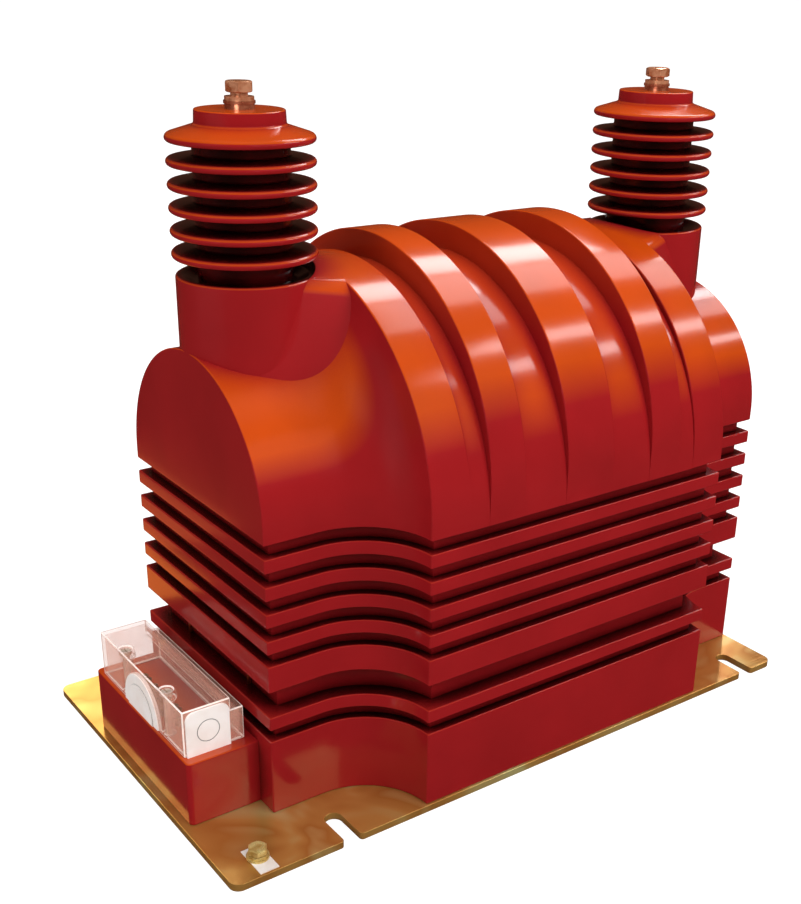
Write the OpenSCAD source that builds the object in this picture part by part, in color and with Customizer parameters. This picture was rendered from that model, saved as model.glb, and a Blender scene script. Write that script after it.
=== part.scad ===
// Indoor voltage transformer: a ribbed resin casting with two bushings on a slotted steel plate.
// Millimetres, +Z up. The origin is the centre of the base plate's underside.
// The low-voltage terminal box is at the -X end, the earthing screw by the -Y edge.

/* [Base plate] */
// Length of the plate along X
plate_l = 564; // [564:1:600]
// Width of the plate along Y
plate_w = 325; // [325:1:350]
// Thickness of the plate
plate_t = 6; // [5:0.5:7]
// Radius of the plate's corners
plate_r = 8; // [2:1:15]
// Width of the open foundation slots
slot_w = 14; // [11:0.5:16]
// Slot centres along X, from one end of the casting to the other
slot_pitch_x = 430; // [424:1:436]
// Centres of the slots' round ends across the plate
slot_pitch_y = 270; // [264:1:280]
// Radius at the mouths of the slots
slot_mouth_r = 3; // [1:0.5:5]

/* [Resin body] */
// Centre of the casting along X, from the plate's centre
body_x = 31; // [29:0.5:32]
// Length of the casting without the terminal pedestal
body_l = 498; // [490:1:500]
// Width of the narrow end sections
narrow_w = 208; // [204:1:212]
// Width of the wide middle section
wide_w = 322; // [318:1:324]
// Length of the wide middle section
wide_l = 295; // [285:1:300]
// Top of the foot
foot_top = 69; // [67:0.5:70]
// Underside of the arched upper block
arch_bottom = 227.5; // [226:0.5:229]
// Height of the arches' axis
arch_z = 236.5; // [236:0.5:240]

/* [Ribs] */
// Height of a thin rib
rib_t = 11; // [9:0.5:12]
// Distance between the undersides of neighbouring thin ribs
rib_pitch = 21.4; // [21:0.1:21.6]
// Underside of the thick rib
thick_rib_z = 110.5; // [109:0.5:112]
// Height of the thick rib
thick_rib_t = 21.5; // [19:0.5:22]
// Underside of the lowest rib
low_rib_z = 78.5; // [78:0.5:80]
// Depth of the thin grooves
groove_d = 8; // [6:0.5:10]
// Depth of the wide groove above the lowest rib
wide_groove_d = 14; // [11:0.5:16]

/* [Raised rings] */
// Height of the rings above the end bands
ring_rise = 14.5; // [10:0.5:18]
// Depth of the grooves between the rings, below the end bands
ring_fall = 6; // [3:0.5:8]
// Width of each end band
end_band_w = 34.5; // [30:0.5:36]
// Distance from the middle ring to each side ring
ring_pitch = 80; // [76:0.5:82]
// Width of the side rings
side_ring_w = 32; // [28:0.5:36]
// Width of the middle ring
mid_ring_w = 46; // [40:0.5:52]

/* [Bushings] */
// Distance between the two bushings
bushing_pitch = 398; // [394:1:400]
// Radius of the bushing's base
base_r = 50.4; // [50:0.1:51]
// Top of the bushing's base
base_top = 391.7; // [388:0.1:393]
// Number of sheds
shed_count = 6; // [4:1:6]
// Radius of the sheds' rims
shed_r = 51.9; // [48:0.1:52]
// Distance between sheds
shed_pitch = 15.8; // [15:0.1:16]
// Height of the lowest shed's rim
shed_z = 406.1; // [405:0.1:407]
// Radius of the core between the sheds
shed_core_r = 34; // [32:0.5:38]
// Roundness of the sheds' rims
shed_rim = 3; // [2:0.1:3.5]
// Radius of the cap
cap_r = 31.3; // [28:0.1:32]
// Top of the cap
cap_top = 503.8; // [502:0.1:505]

/* [Terminal box] */
// Length of the pedestal beyond the casting's end
pedestal_l = 58; // [56:1:60]
// Width of the pedestal
pedestal_w = 168; // [160:1:180]
// Top of the pedestal
pedestal_top = 60; // [58:1:62]
// Height of the clear cover
cover_h = 38.5; // [36:0.5:42]
// Wall of the clear cover
cover_wall = 2.5; // [2:0.1:3]
// Length of the cover's main part along X
cover_l = 39; // [38:0.5:40]
// Width of the cover along Y
cover_w = 148; // [144:1:152]

/* [Hidden] */
$fn = 96;
eps = 0.01;

// casting
fillet_r = (wide_w - narrow_w) / 2;
bushing_x = bushing_pitch / 2;
narrow_r = narrow_w / 2;
wide_r = wide_w / 2;
rib_levels = [for (k = [1:4]) arch_bottom - k * rib_pitch];
end_x = body_x - body_l / 2;
rings = [[-ring_pitch, side_ring_w], [0, mid_ring_w], [ring_pitch, side_ring_w]];
between_bands = wide_l - 2 * end_band_w;
base_foot = 262;

// webs between the bushings and the wide arch
web_start = bushing_x + 17;
web_end = wide_l / 2 - 8;
web_corner = [-158.25, 52.48, 388.7];
web_flare = 21.5;
web_fall = 6.9;
web_lean = 14;
web_arch_lean = 72.4;
web_corner_r = 17;
web_top_r = wide_r - 0.3;

// high-voltage terminals
bolt_r = 6;
insert_flange_t = 3.5;
flat_washer_t = 2;
spring_washer_t = 2.7;
hv_seat = cap_top + insert_flange_t;
hv_spring_z = hv_seat + flat_washer_t;
hv_head_z = hv_spring_z + spring_washer_t + 2.5;
hv_head_t = 7.5;
insert_low = 462;
lead_r = 2.5;
lead_z = 345;

// core and windings
limb = 52;
core_l = 410;
core_low = 28;
core_high = arch_z + limb / 2;
core_gap = 0.2;
former_r = 42;
former_wall = 4;
former_l = 296;
winding_l = 272;
secondary_r = 58;
primary_r = 118;
primary_bore = 62;
strap_t = 1.5;
strap_w = 20;

// terminal box
cover_x = end_x - pedestal_l + 2.6;
cover_top = pedestal_top + cover_h;
step_l = 10.4;
step_h = 28;
pillar_x = cover_x + 5.4;
pillar_y = 37;
pillar_r = 5.5;
front_plug_r = 29.5;
front_plug_z = pedestal_top + 2.5;
stud_x = end_x - pedestal_l + 18;
stud_y = [-27, -9, 9, 27];
stud_r = 3;
stud_low = 38;
stud_top = pedestal_top + 16;
stud_washer_t = 1.2;
stud_nut_t = 5;
wire_r = 1.5;
wire_y = 50;

// foot fixings and earthing screw
foot_x = [body_x - 150, body_x + 150];
foot_y = 100;
foot_screw_r = 5;
earth_x = -252.5;
earth_y = -142.5;
earth_r = 4;
tag_t = 0.6;
earth_washer_t = 1.6;
earth_spring_t = 2.1;
earth_head_t = 5.3;

// Copies the children at both ends of the casting.
module both_ends() {
    translate([body_x, 0, 0])
        for (end = [0, 1])
            mirror([end, 0, 0])
                children();
}

// Copies the children at the four foot fixings.
module at_feet() {
    for (x = foot_x, y = [-foot_y, foot_y])
        translate([x, y, 0])
            children();
}

// Copies the children on the axes of the cover's two pillars.
module at_pillars() {
    for (y = [-pillar_y, pillar_y])
        translate([pillar_x, y, 0])
            children();
}

// A straight round bar between two points, with round ends.
module bar(from, to, r) {
    run = to - from;
    flat = norm([run.x, run.y]);
    translate(from) {
        sphere(r, $fn = 32);
        rotate([0, atan2(flat, run.z), atan2(run.y, run.x)])
            cylinder(h = norm(run), r = r, $fn = 32);
    }
    translate(to)
        sphere(r, $fn = 32);
}

// A bent round wire through a list of points.
module wire(points, r) {
    for (k = [0:len(points) - 2])
        bar(points[k], points[k + 1], r);
}

// A flat ring.
module ring(outer, inner, h) {
    difference() {
        cylinder(h = h, r = outer);
        translate([0, 0, -1])
            cylinder(h = h + 2, r = inner);
    }
}

// A hexagon across its flats, with both rims bevelled.
module hexagon(flats, h, bevel) {
    corner = flats / sqrt(3);
    intersection() {
        cylinder(h = h, r = corner, $fn = 6);
        union() {
            cylinder(h = bevel, r1 = corner - 2 * bevel, r2 = corner);
            translate([0, 0, bevel])
                cylinder(h = h - 2 * bevel, r = corner);
            translate([0, 0, h - bevel])
                cylinder(h = bevel, r1 = corner, r2 = corner - 2 * bevel);
        }
    }
}

// A ring cut through at one side, as a spring washer is.
module split_ring(outer, inner, h, cut) {
    difference() {
        ring(outer, inner, h);
        rotate([0, 0, 35])
            translate([0, -cut / 2, -1])
                cube([outer + 1, cut, h + 2]);
    }
}

// Outline of one half of the casting's ends: x is the half width, y runs along the casting.
module end_profile() {
    translate([0, -body_l / 2])
        square([narrow_r, body_l]);
    for (end = [0, 1])
        mirror([0, end]) {
            translate([0, wide_l / 2 - end_band_w])
                square([wide_r, end_band_w]);
            difference() {
                translate([narrow_r - 5, wide_l / 2 - 1])
                    square([fillet_r + 5, fillet_r + 1]);
                translate([wide_r, wide_l / 2 + fillet_r])
                    circle(fillet_r);
            }
        }
}

// Plan outline of the casting, with its walls moved inwards.
module plan(inset) {
    square([body_l - 2 * inset, narrow_w - 2 * inset], center = true);
    square([wide_l - 2 * inset, wide_w - 2 * inset], center = true);
    for (end = [0, 1], side = [0, 1])
        mirror([end, 0])
            mirror([0, side])
                difference() {
                    translate([wide_l / 2 - inset - 1, narrow_r - inset - 5])
                        square([fillet_r + inset + 1, fillet_r + 5]);
                    translate([wide_l / 2 + fillet_r, wide_r])
                        circle(fillet_r + inset);
                }
}

// A slab of the casting's plan between two heights.
module slab(low, high, inset) {
    translate([body_x, 0, low])
        linear_extrude(high - low)
            plan(inset);
}

// Half-round section with straight sides, raised or lowered from the arch's axis.
module band_section(rise) {
    axis = arch_z + rise - arch_bottom;
    intersection() {
        union() {
            translate([axis, 0])
                circle(wide_r);
            translate([0, -wide_r])
                square([axis, wide_w]);
        }
        translate([0, -wide_r])
            square([axis + wide_r + 1, wide_w]);
    }
}

// A band over the arch, centred at a distance from the casting's centre.
module band(offset_x, width, rise) {
    translate([body_x + offset_x + width / 2, 0, arch_bottom])
        rotate([0, -90, 0])
            linear_extrude(width)
                band_section(rise);
}

// Foot, ribs and grooves below the arches.
module ribbed_trunk() {
    slab(plate_t, foot_top, 0);
    slab(plate_t, arch_bottom + 1, wide_groove_d);
    slab(plate_t, low_rib_z + rib_t / 2, groove_d);
    slab(thick_rib_z + thick_rib_t / 2, arch_bottom + 1, groove_d);
    slab(low_rib_z, low_rib_z + rib_t, 0);
    slab(thick_rib_z, thick_rib_z + thick_rib_t, 0);
    for (z = rib_levels)
        slab(z, z + rib_t, 0);
}

// Narrow and wide arches with the concave sweep between them, and the raised rings.
module arches() {
    translate([body_x, 0, arch_bottom])
        linear_extrude(arch_z - arch_bottom)
            rotate(-90)
                for (side = [0, 1])
                    mirror([side, 0])
                        end_profile();
    translate([body_x, 0, arch_z])
        rotate([0, 90, 0])
            rotate([0, 0, 90])
                rotate_extrude(angle = 180, $fn = 180)
                    end_profile();
    band(0, between_bands + 2, -ring_fall);
    for (r = rings)
        band(r[0], r[1], ring_rise);
}

// Turned profile of a bushing's base: a plain drum with a round rim and a recess in its top.
module base_profile() {
    polygon([
        [0, base_foot], [base_r, base_foot], [base_r, base_top - 2],
        [base_r - 2, base_top], [base_r - 4.6, base_top], [shed_core_r + 3, base_top - 5],
        [0, base_top - 5]
    ]);
    translate([base_r - 2, base_top - 2])
        circle(2);
}

// Turned profile of a bushing above its base: core, sheds and cap.
module shed_stack_profile() {
    polygon([
        [0, base_top - 10], [shed_core_r, base_top - 10],
        [shed_core_r, shed_z + (shed_count - 1) * shed_pitch],
        [cap_r, cap_top - 9.8], [cap_r + 0.5, cap_top - 9.8], [cap_r, cap_top - 0.8],
        [cap_r - 0.8, cap_top], [0, cap_top]
    ]);
    for (k = [0:shed_count - 1])
        shed_profile(shed_z + k * shed_pitch, k == shed_count - 1 ? 9.3 : 6);
}

// Section of one shed: a drooping disc with a round rim.
module shed_profile(z, rise) {
    polygon([
        [cap_r - 1, z + rise], [shed_r - shed_rim, z + shed_rim],
        [shed_r - shed_rim, z - shed_rim], [shed_core_r - 1, z - shed_rim - 1.2]
    ]);
    translate([shed_r - shed_rim, z])
        circle(shed_rim);
}

// One bushing. Only its base is cut flush with the casting's end face.
module bushing() {
    intersection() {
        translate([-bushing_x, 0, 0])
            rotate_extrude()
                base_profile();
        translate([-body_l / 2, -100, base_foot - 1])
            cube([body_l / 2, 200, 300]);
    }
    translate([-bushing_x, 0, 0])
        rotate_extrude()
            shed_stack_profile();
}

// Section of a web's side: x is outwards, y is up, and the sharp corner is at the origin.
module web_side_section() {
    side = [cos(web_lean), sin(web_lean)];
    top = [cos(web_arch_lean), sin(web_arch_lean)];
    bisector = (side + top) / (1 + side * top);
    centre = -web_corner_r * bisector;
    edge = centre + web_corner_r * side;
    low = edge + 130 * [side.y, -side.x];
    high = centre + 50 * top;
    polygon([centre, edge, low, low - [180, 0], high - [130, 0], high]);
    translate(centre)
        circle(web_corner_r);
}

// All that lies inside one flared and leaning side of a web.
module web_side() {
    translate(web_corner)
        rotate([0, web_fall, web_flare])
            rotate([90, 0, 90])
                translate([0, 0, -90])
                    linear_extrude(180)
                        web_side_section();
}

// Web from a bushing's base into the wide arch, a hair under the arch's end band.
module web() {
    difference() {
        intersection() {
            translate([-web_start, 0, arch_z])
                rotate([0, 90, 0])
                    cylinder(h = web_start - web_end, r = web_top_r, $fn = 180);
            web_side();
            mirror([0, 1, 0])
                web_side();
            translate([-web_start, -wide_r, 300])
                cube([web_start, wide_w, 200]);
        }
        translate([-bushing_x, 0, 200])
            cylinder(h = 300, r = base_r - 1);
    }
}

// Block under the low-voltage terminals, with rounded upright corners.
module pedestal() {
    corner = 4;
    long = pedestal_l + 1;
    translate([end_x - pedestal_l, 0, plate_t])
        linear_extrude(pedestal_top - plate_t) {
            translate([corner, -pedestal_w / 2])
                square([long - corner, pedestal_w]);
            translate([0, corner - pedestal_w / 2])
                square([long, pedestal_w - 2 * corner]);
            for (side = [-1, 1])
                translate([corner, side * (pedestal_w / 2 - corner)])
                    circle(corner);
        }
}

module resin_body() {
    color("#9c1f1c")
        difference() {
            union() {
                ribbed_trunk();
                arches();
                both_ends() {
                    bushing();
                    web();
                }
                pedestal();
            }
            core_shape(0);
            straps_shape();
            winding_shape(former_r, former_r - former_wall, former_l);
            winding_shape(secondary_r, former_r, winding_l);
            winding_shape(primary_r, primary_bore, winding_l);
            both_ends() {
                insert_blank();
                lead_shape();
            }
            stud_blanks();
            secondary_leads_shape();
            at_pillars()
                cover_insert_blank();
            at_feet()
                foot_insert_blank();
        }
}

// Slot that opens through one long edge of the plate, with rounded mouth corners.
module edge_slot() {
    y0 = slot_pitch_y / 2;
    edge = plate_w / 2;
    translate([0, y0])
        circle(slot_w / 2);
    translate([-slot_w / 2, y0])
        square([slot_w, edge - y0 + 1]);
    for (side = [-1, 1])
        difference() {
            translate([side * (slot_w / 2 + slot_mouth_r / 2), edge - slot_mouth_r / 2 + 0.5])
                square([slot_mouth_r, slot_mouth_r + 1], center = true);
            translate([side * (slot_w / 2 + slot_mouth_r), edge - slot_mouth_r])
                circle(slot_mouth_r);
        }
}

module base_plate() {
    color("#b9903f")
        difference() {
            linear_extrude(plate_t)
                difference() {
                    union() {
                        square([plate_l - 2 * plate_r, plate_w], center = true);
                        square([plate_l, plate_w - 2 * plate_r], center = true);
                        for (x = [-1, 1], y = [-1, 1])
                            translate([x * (plate_l / 2 - plate_r), y * (plate_w / 2 - plate_r)])
                                circle(plate_r);
                    }
                    for (x = [-1, 1], side = [0, 1])
                        translate([body_x + x * slot_pitch_x / 2, 0])
                            mirror([0, side])
                                edge_slot();
                    translate([earth_x, earth_y])
                        circle(earth_r);
                }
            at_feet()
                foot_screw_space(0.3);
        }
}

// Brass insert of a bushing without its bore: collar on the cap, ribbed body in the resin.
module insert_blank() {
    translate([-bushing_x, 0, 0]) {
        translate([0, 0, insert_low])
            cylinder(h = cap_top - insert_low, r = 9);
        translate([0, 0, insert_low])
            cylinder(h = 12, r = 12);
        translate([0, 0, cap_top - 14])
            cylinder(h = 6, r = 11);
    }
}

module hv_inserts() {
    color("#b87a45")
        both_ends()
            difference() {
                union() {
                    insert_blank();
                    translate([-bushing_x, 0, cap_top])
                        cylinder(h = insert_flange_t, r1 = 10.6, r2 = 10.2);
                }
                translate([-bushing_x, 0, insert_low + 10])
                    cylinder(h = 60, r = bolt_r + 0.1);
            }
}

module hv_bolts() {
    color("#c98a5e")
        both_ends()
            translate([-bushing_x, 0, 0]) {
                translate([0, 0, hv_head_z])
                    hexagon(18, hv_head_t, 1.1);
                translate([0, 0, insert_low + 15])
                    cylinder(h = hv_head_z - insert_low - 15 + eps, r = bolt_r);
            }
}

module hv_spring_washers() {
    color("#b5764a")
        both_ends()
            translate([-bushing_x, 0, hv_spring_z])
                split_ring(10.2, bolt_r + 0.2, spring_washer_t, 1.6);
}

module hv_flat_washers() {
    color("#bf8354")
        both_ends()
            translate([-bushing_x, 0, hv_seat])
                ring(11, bolt_r + 0.3, flat_washer_t);
}

// Rod from a bushing's insert down to the primary winding's end.
module lead_shape() {
    wire([
        [-bushing_x, 0, insert_low - lead_r], [-bushing_x, 0, lead_z],
        [-winding_l / 2 - lead_r, 0, lead_z]
    ], lead_r);
}

module hv_leads() {
    color("#b06a3a")
        both_ends()
            lead_shape();
}

// Both halves of the core; gap parts them at the middle of the long limbs.
module core_shape(gap) {
    mid = (core_low + core_high) / 2;
    difference() {
        translate([body_x - core_l / 2, -limb / 2, core_low])
            cube([core_l, limb, core_high - core_low]);
        translate([body_x - core_l / 2 + limb, -limb, core_low + limb])
            cube([core_l - 2 * limb, 2 * limb, core_high - core_low - 2 * limb]);
        if (gap > 0)
            translate([body_x, 0, mid])
                cube([gap, 2 * limb, core_high - core_low + 2], center = true);
    }
}

module core_halves() {
    color("#4a4d52")
        core_shape(core_gap);
}

// Two straps round the core's lower limb.
module straps_shape() {
    for (x = [-60, 60])
        translate([body_x + x - strap_w / 2, 0, 0])
            difference() {
                translate([0, -limb / 2 - strap_t, core_low - strap_t])
                    cube([strap_w, limb + 2 * strap_t, limb + 2 * strap_t]);
                translate([-1, -limb / 2, core_low])
                    cube([strap_w + 2, limb, limb]);
            }
}

module core_straps() {
    color("#8a8d90")
        straps_shape();
}

// A hollow coil on the core's upper limb.
module winding_shape(outer, inner, length) {
    translate([body_x - length / 2, 0, arch_z])
        rotate([0, 90, 0])
            ring(outer, inner, length);
}

module coil_former() {
    color("#c9b58a")
        winding_shape(former_r, former_r - former_wall, former_l);
}

module secondary_winding() {
    color("#a85a2a")
        winding_shape(secondary_r, former_r, winding_l);
}

module primary_winding() {
    color("#b5652f")
        winding_shape(primary_r, primary_bore, winding_l);
}

// Solid envelope of the terminal cover, grown inwards by the wall.
module cover_envelope(wall) {
    translate([cover_x + wall, -cover_w / 2 + wall, pedestal_top - (wall > 0 ? 1 : 0)])
        cube([cover_l - 2 * wall, cover_w - 2 * wall, cover_h - wall + (wall > 0 ? 1 : 0)]);
    translate([cover_x + cover_l - wall - 1, -cover_w / 2 + wall, pedestal_top - (wall > 0 ? 1 : 0)])
        cube([step_l + 1, cover_w - 2 * wall, step_h - wall + (wall > 0 ? 1 : 0)]);
}

// Arched cable opening in the cover's front wall.
module front_arch(r, from, thick) {
    translate([from, 0, 0])
        rotate([90, 0, 90])
            linear_extrude(thick)
                intersection() {
                    union() {
                        translate([0, front_plug_z])
                            circle(r);
                        translate([-r, pedestal_top])
                            square([2 * r, front_plug_z - pedestal_top]);
                    }
                    translate([-r, pedestal_top])
                        square([2 * r, 2 * r]);
                }
}

// Plate with rounded upper corners for the cover's end wall.
module end_panel(inset, from, thick) {
    w = 35.2 - 2 * inset;
    h = 36.8 - inset;
    corner = 7 - inset / 2;
    translate([cover_x + 1.9 + inset, from, pedestal_top])
        rotate([90, 0, 0])
            linear_extrude(thick) {
                square([w, h - corner]);
                translate([corner, 0])
                    square([w - 2 * corner, h]);
                for (x = [corner, w - corner])
                    translate([x, h - corner])
                        circle(corner);
            }
}

module terminal_cover() {
    color([0.92, 0.86, 0.84, 0.35])
        difference() {
            union() {
                difference() {
                    cover_envelope(0);
                    cover_envelope(cover_wall);
                }
                intersection() {
                    at_pillars()
                        translate([0, 0, pedestal_top])
                            cylinder(h = cover_h, r = pillar_r);
                    cover_envelope(0);
                }
                at_pillars()
                    translate([0, 0, cover_top - 8])
                        intersection() {
                            cylinder(h = 8, r = 7.5);
                            translate([-5.4, -10, 0])
                                cube([20, 20, 8]);
                        }
            }
            at_pillars() {
                translate([0, 0, pedestal_top - 1])
                    cylinder(h = cover_h + 2, r = 2.8);
                translate([0, 0, cover_top - 5])
                    cylinder(h = 6, r = 5);
            }
            front_arch(front_plug_r, cover_x - 1, cover_wall + 1);
            end_panel(2.5, -cover_w / 2 + cover_wall, cover_wall + 1);
        }
}

module cover_screws() {
    color("#c9b9a4")
        at_pillars()
            difference() {
                union() {
                    translate([0, 0, cover_top - 5])
                        cylinder(h = 3.2, r = 4.4);
                    translate([0, 0, pedestal_top - 12])
                        cylinder(h = cover_h + 7 + eps, r = 2.5);
                }
                translate([-0.6, -6, cover_top - 3.2])
                    cube([1.2, 12, 4]);
            }
}

// Insert blank for one cover screw.
module cover_insert_blank() {
    translate([0, 0, pedestal_top - 14])
        cylinder(h = 14, r = 4.2);
}

module cover_inserts() {
    color("#b08d4a")
        at_pillars()
            difference() {
                cover_insert_blank();
                translate([0, 0, pedestal_top - 13])
                    cylinder(h = 14, r = 2.6);
            }
}

module end_plug() {
    color("#ece6e2")
        difference() {
            union() {
                end_panel(0, -cover_w / 2, 1.8);
                end_panel(2.5, -cover_w / 2 + cover_wall, cover_wall + eps);
            }
            translate([cover_x + 1.9 + 17.6, -cover_w / 2 - 1.3, pedestal_top + 18.5])
                rotate([90, 0, 0])
                    ring(9.3, 8.6, 2);
        }
}

module front_plug() {
    color("#e9dcd8")
        union() {
            front_arch(front_plug_r, cover_x - 0.6, cover_wall + 0.6);
            front_arch(front_plug_r - 8, cover_x - 1.4, 1);
        }
}

// Studs as they sit in the resin, without the part above the pedestal.
module stud_blanks() {
    for (y = stud_y)
        translate([stud_x, y, stud_low]) {
            cylinder(h = pedestal_top - stud_low, r = stud_r);
            cylinder(h = 6, r = 5.5);
        }
}

module secondary_studs() {
    color("#b08d4a") {
        stud_blanks();
        for (y = stud_y)
            translate([stud_x, y, pedestal_top - 1])
                cylinder(h = stud_top - pedestal_top + 1, r = stud_r);
    }
}

module secondary_washers() {
    color("#b9975a")
        for (y = stud_y, z = [0, stud_washer_t + stud_nut_t])
            translate([stud_x, y, pedestal_top + z])
                ring(6, stud_r + 0.2, stud_washer_t);
}

module secondary_nuts() {
    color("#b9975a")
        for (y = stud_y, z = [stud_washer_t, 2 * stud_washer_t + stud_nut_t])
            translate([stud_x, y, pedestal_top + z])
                difference() {
                    hexagon(10, stud_nut_t, 0.6);
                    translate([0, 0, -1])
                        cylinder(h = stud_nut_t + 2, r = stud_r + 0.05);
                }
}

// Wires from the studs' feet along the foot, up beside the yoke and into the secondary coil's end.
module secondary_leads_shape() {
    for (k = [0:3]) {
        y = stud_y[k];
        out = (y > 0 ? 1 : -1) * wire_y;
        inner_pair = abs(y) < 10;
        x = end_x + (inner_pair ? 22 : 12);
        z = arch_z + (inner_pair ? -6 : 6);
        wire([
            [stud_x, y, stud_low - wire_r], [x, y, stud_low - wire_r],
            [x, out, stud_low - wire_r], [x, out, z],
            [body_x - winding_l / 2 - wire_r, out, z]
        ], wire_r);
    }
}

module secondary_leads() {
    color("#a8602f")
        secondary_leads_shape();
}

module earth_bolt() {
    color("#c7b06a")
        translate([earth_x, earth_y, 0]) {
            translate([0, 0, plate_t + tag_t + earth_washer_t + earth_spring_t])
                hexagon(13, earth_head_t, 0.8);
            translate([0, 0, 0.5])
                cylinder(h = plate_t + tag_t + earth_washer_t + earth_spring_t, r = earth_r - 0.05);
        }
}

module earth_spring_washer() {
    color("#a99a6a")
        translate([earth_x, earth_y, plate_t + tag_t + earth_washer_t])
            split_ring(7.3, earth_r + 0.2, earth_spring_t, 1.2);
}

module earth_washer() {
    color("#cfc08a")
        translate([earth_x, earth_y, plate_t + tag_t])
            ring(8.5, earth_r + 0.3, earth_washer_t);
}

module earth_tag() {
    color("#f2eeea")
        translate([0, 0, plate_t])
            linear_extrude(tag_t)
                difference() {
                    translate([earth_x - 7.5, earth_y - 18])
                        square([15, 30]);
                    translate([earth_x, earth_y])
                        circle(earth_r + 0.4);
                }
}

// Countersunk screw envelope; grow widens it for its clearance hole.
module foot_screw_space(grow) {
    translate([0, 0, -1])
        cylinder(h = 1.3, r = foot_screw_r + 4.7 + grow);
    translate([0, 0, 0.3])
        cylinder(h = 4.7, r1 = foot_screw_r + 4.7 + grow, r2 = foot_screw_r + grow);
    translate([0, 0, 4.9])
        cylinder(h = 2, r = foot_screw_r + grow);
}

module foot_screws() {
    color("#a9a9a4")
        at_feet()
            difference() {
                union() {
                    translate([0, 0, 0.3])
                        cylinder(h = 4.7, r1 = foot_screw_r + 4.7, r2 = foot_screw_r);
                    translate([0, 0, 4.9])
                        cylinder(h = 21, r = foot_screw_r);
                }
                translate([0, 0, -1])
                    cylinder(h = 4, r = 3.4, $fn = 6);
            }
}

// Insert blank for one foot screw.
module foot_insert_blank() {
    translate([0, 0, plate_t])
        cylinder(h = 28, r = 9);
    translate([0, 0, plate_t + 10])
        cylinder(h = 8, r = 11);
}

module foot_inserts() {
    color("#b08d4a")
        at_feet()
            difference() {
                foot_insert_blank();
                translate([0, 0, plate_t - 1])
                    cylinder(h = 24, r = foot_screw_r + 0.1);
            }
}

base_plate();
resin_body();
hv_inserts();
hv_bolts();
hv_spring_washers();
hv_flat_washers();
hv_leads();
core_halves();
core_straps();
coil_former();
secondary_winding();
primary_winding();
terminal_cover();
cover_screws();
cover_inserts();
end_plug();
front_plug();
secondary_studs();
secondary_washers();
secondary_nuts();
secondary_leads();
earth_bolt();
earth_spring_washer();
earth_washer();
earth_tag();
foot_screws();
foot_inserts();
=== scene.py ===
"""Looks of the indoor voltage transformer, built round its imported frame. Sizes in millimetres."""

import logging
import math
from dataclasses import dataclass
from enum import Enum

import bmesh
import bpy
from mathutils import Euler, Matrix, Vector


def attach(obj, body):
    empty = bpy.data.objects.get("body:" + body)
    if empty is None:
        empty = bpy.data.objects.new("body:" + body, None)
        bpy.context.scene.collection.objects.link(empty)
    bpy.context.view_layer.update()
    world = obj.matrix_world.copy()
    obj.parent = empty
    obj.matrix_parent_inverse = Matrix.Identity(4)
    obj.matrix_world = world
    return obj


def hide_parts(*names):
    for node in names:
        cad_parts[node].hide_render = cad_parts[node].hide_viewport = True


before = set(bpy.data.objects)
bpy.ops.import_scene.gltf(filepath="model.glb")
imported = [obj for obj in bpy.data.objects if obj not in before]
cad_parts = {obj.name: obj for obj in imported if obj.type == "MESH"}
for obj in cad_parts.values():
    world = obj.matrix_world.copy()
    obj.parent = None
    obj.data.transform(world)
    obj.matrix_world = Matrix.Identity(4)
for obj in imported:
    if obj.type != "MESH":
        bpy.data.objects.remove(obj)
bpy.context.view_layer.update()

MM = 0.001
PER_METRE = 1000
BODY = "root"
SHARP = math.radians(40)
# Points closer than this many millimetres are one.
WELD = 0.002
# A noise pattern's values lie mostly between these two.
NOISE_LOW, NOISE_HIGH = 0.3, 0.7
# Width of one band of the wave pattern at a scale of 1.
WAVE_BAND = math.pi / 10
log = logging.getLogger("transformer")

Colour = tuple[float, float, float, float]
Point = tuple[float, float, float]
Flat = tuple[float, float]


def linear(code: str) -> Colour:
    """Turns an sRGB hex value into a linear colour.

    Args:
        code: six hex digits, such as 9c1f1c.

    Returns:
        Red, green, blue and an alpha of 1.
    """
    parts = []
    for start in (0, 2, 4):
        value = int(code[start : start + 2], 16) / 255
        parts.append(value / 12.92 if value <= 0.04045 else ((value + 0.055) / 1.055) ** 2.4)
    return (parts[0], parts[1], parts[2], 1.0)


def add_node(tree: bpy.types.NodeTree, kind: str, inputs: dict, **settings: object) -> bpy.types.Node:
    """Adds one node with its settings, values and links.

    Args:
        tree: node tree that takes the node.
        kind: Blender's name of the node type.
        inputs: values or output sockets by the input's identifier, name or number.
        **settings: properties of the node; stops is a ramp's list of (place, colour).

    Returns:
        The new node.
    """
    node = tree.nodes.new(kind)
    for name, value in settings.items():
        if name != "stops":
            setattr(node, name, value)
            continue
        marks = node.color_ramp.elements
        while len(marks) < len(value):
            marks.new(0.5)
        for mark, (place, colour) in zip(marks, value):
            mark.position = place
            mark.color = colour
    for key, value in inputs.items():
        socket = node.inputs[key] if isinstance(key, int) else None
        for entry in node.inputs:
            if socket is None and key in (entry.identifier, entry.name):
                socket = entry
        if isinstance(value, bpy.types.NodeSocket):
            tree.links.new(value, socket)
        else:
            socket.default_value = value
    return node


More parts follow.
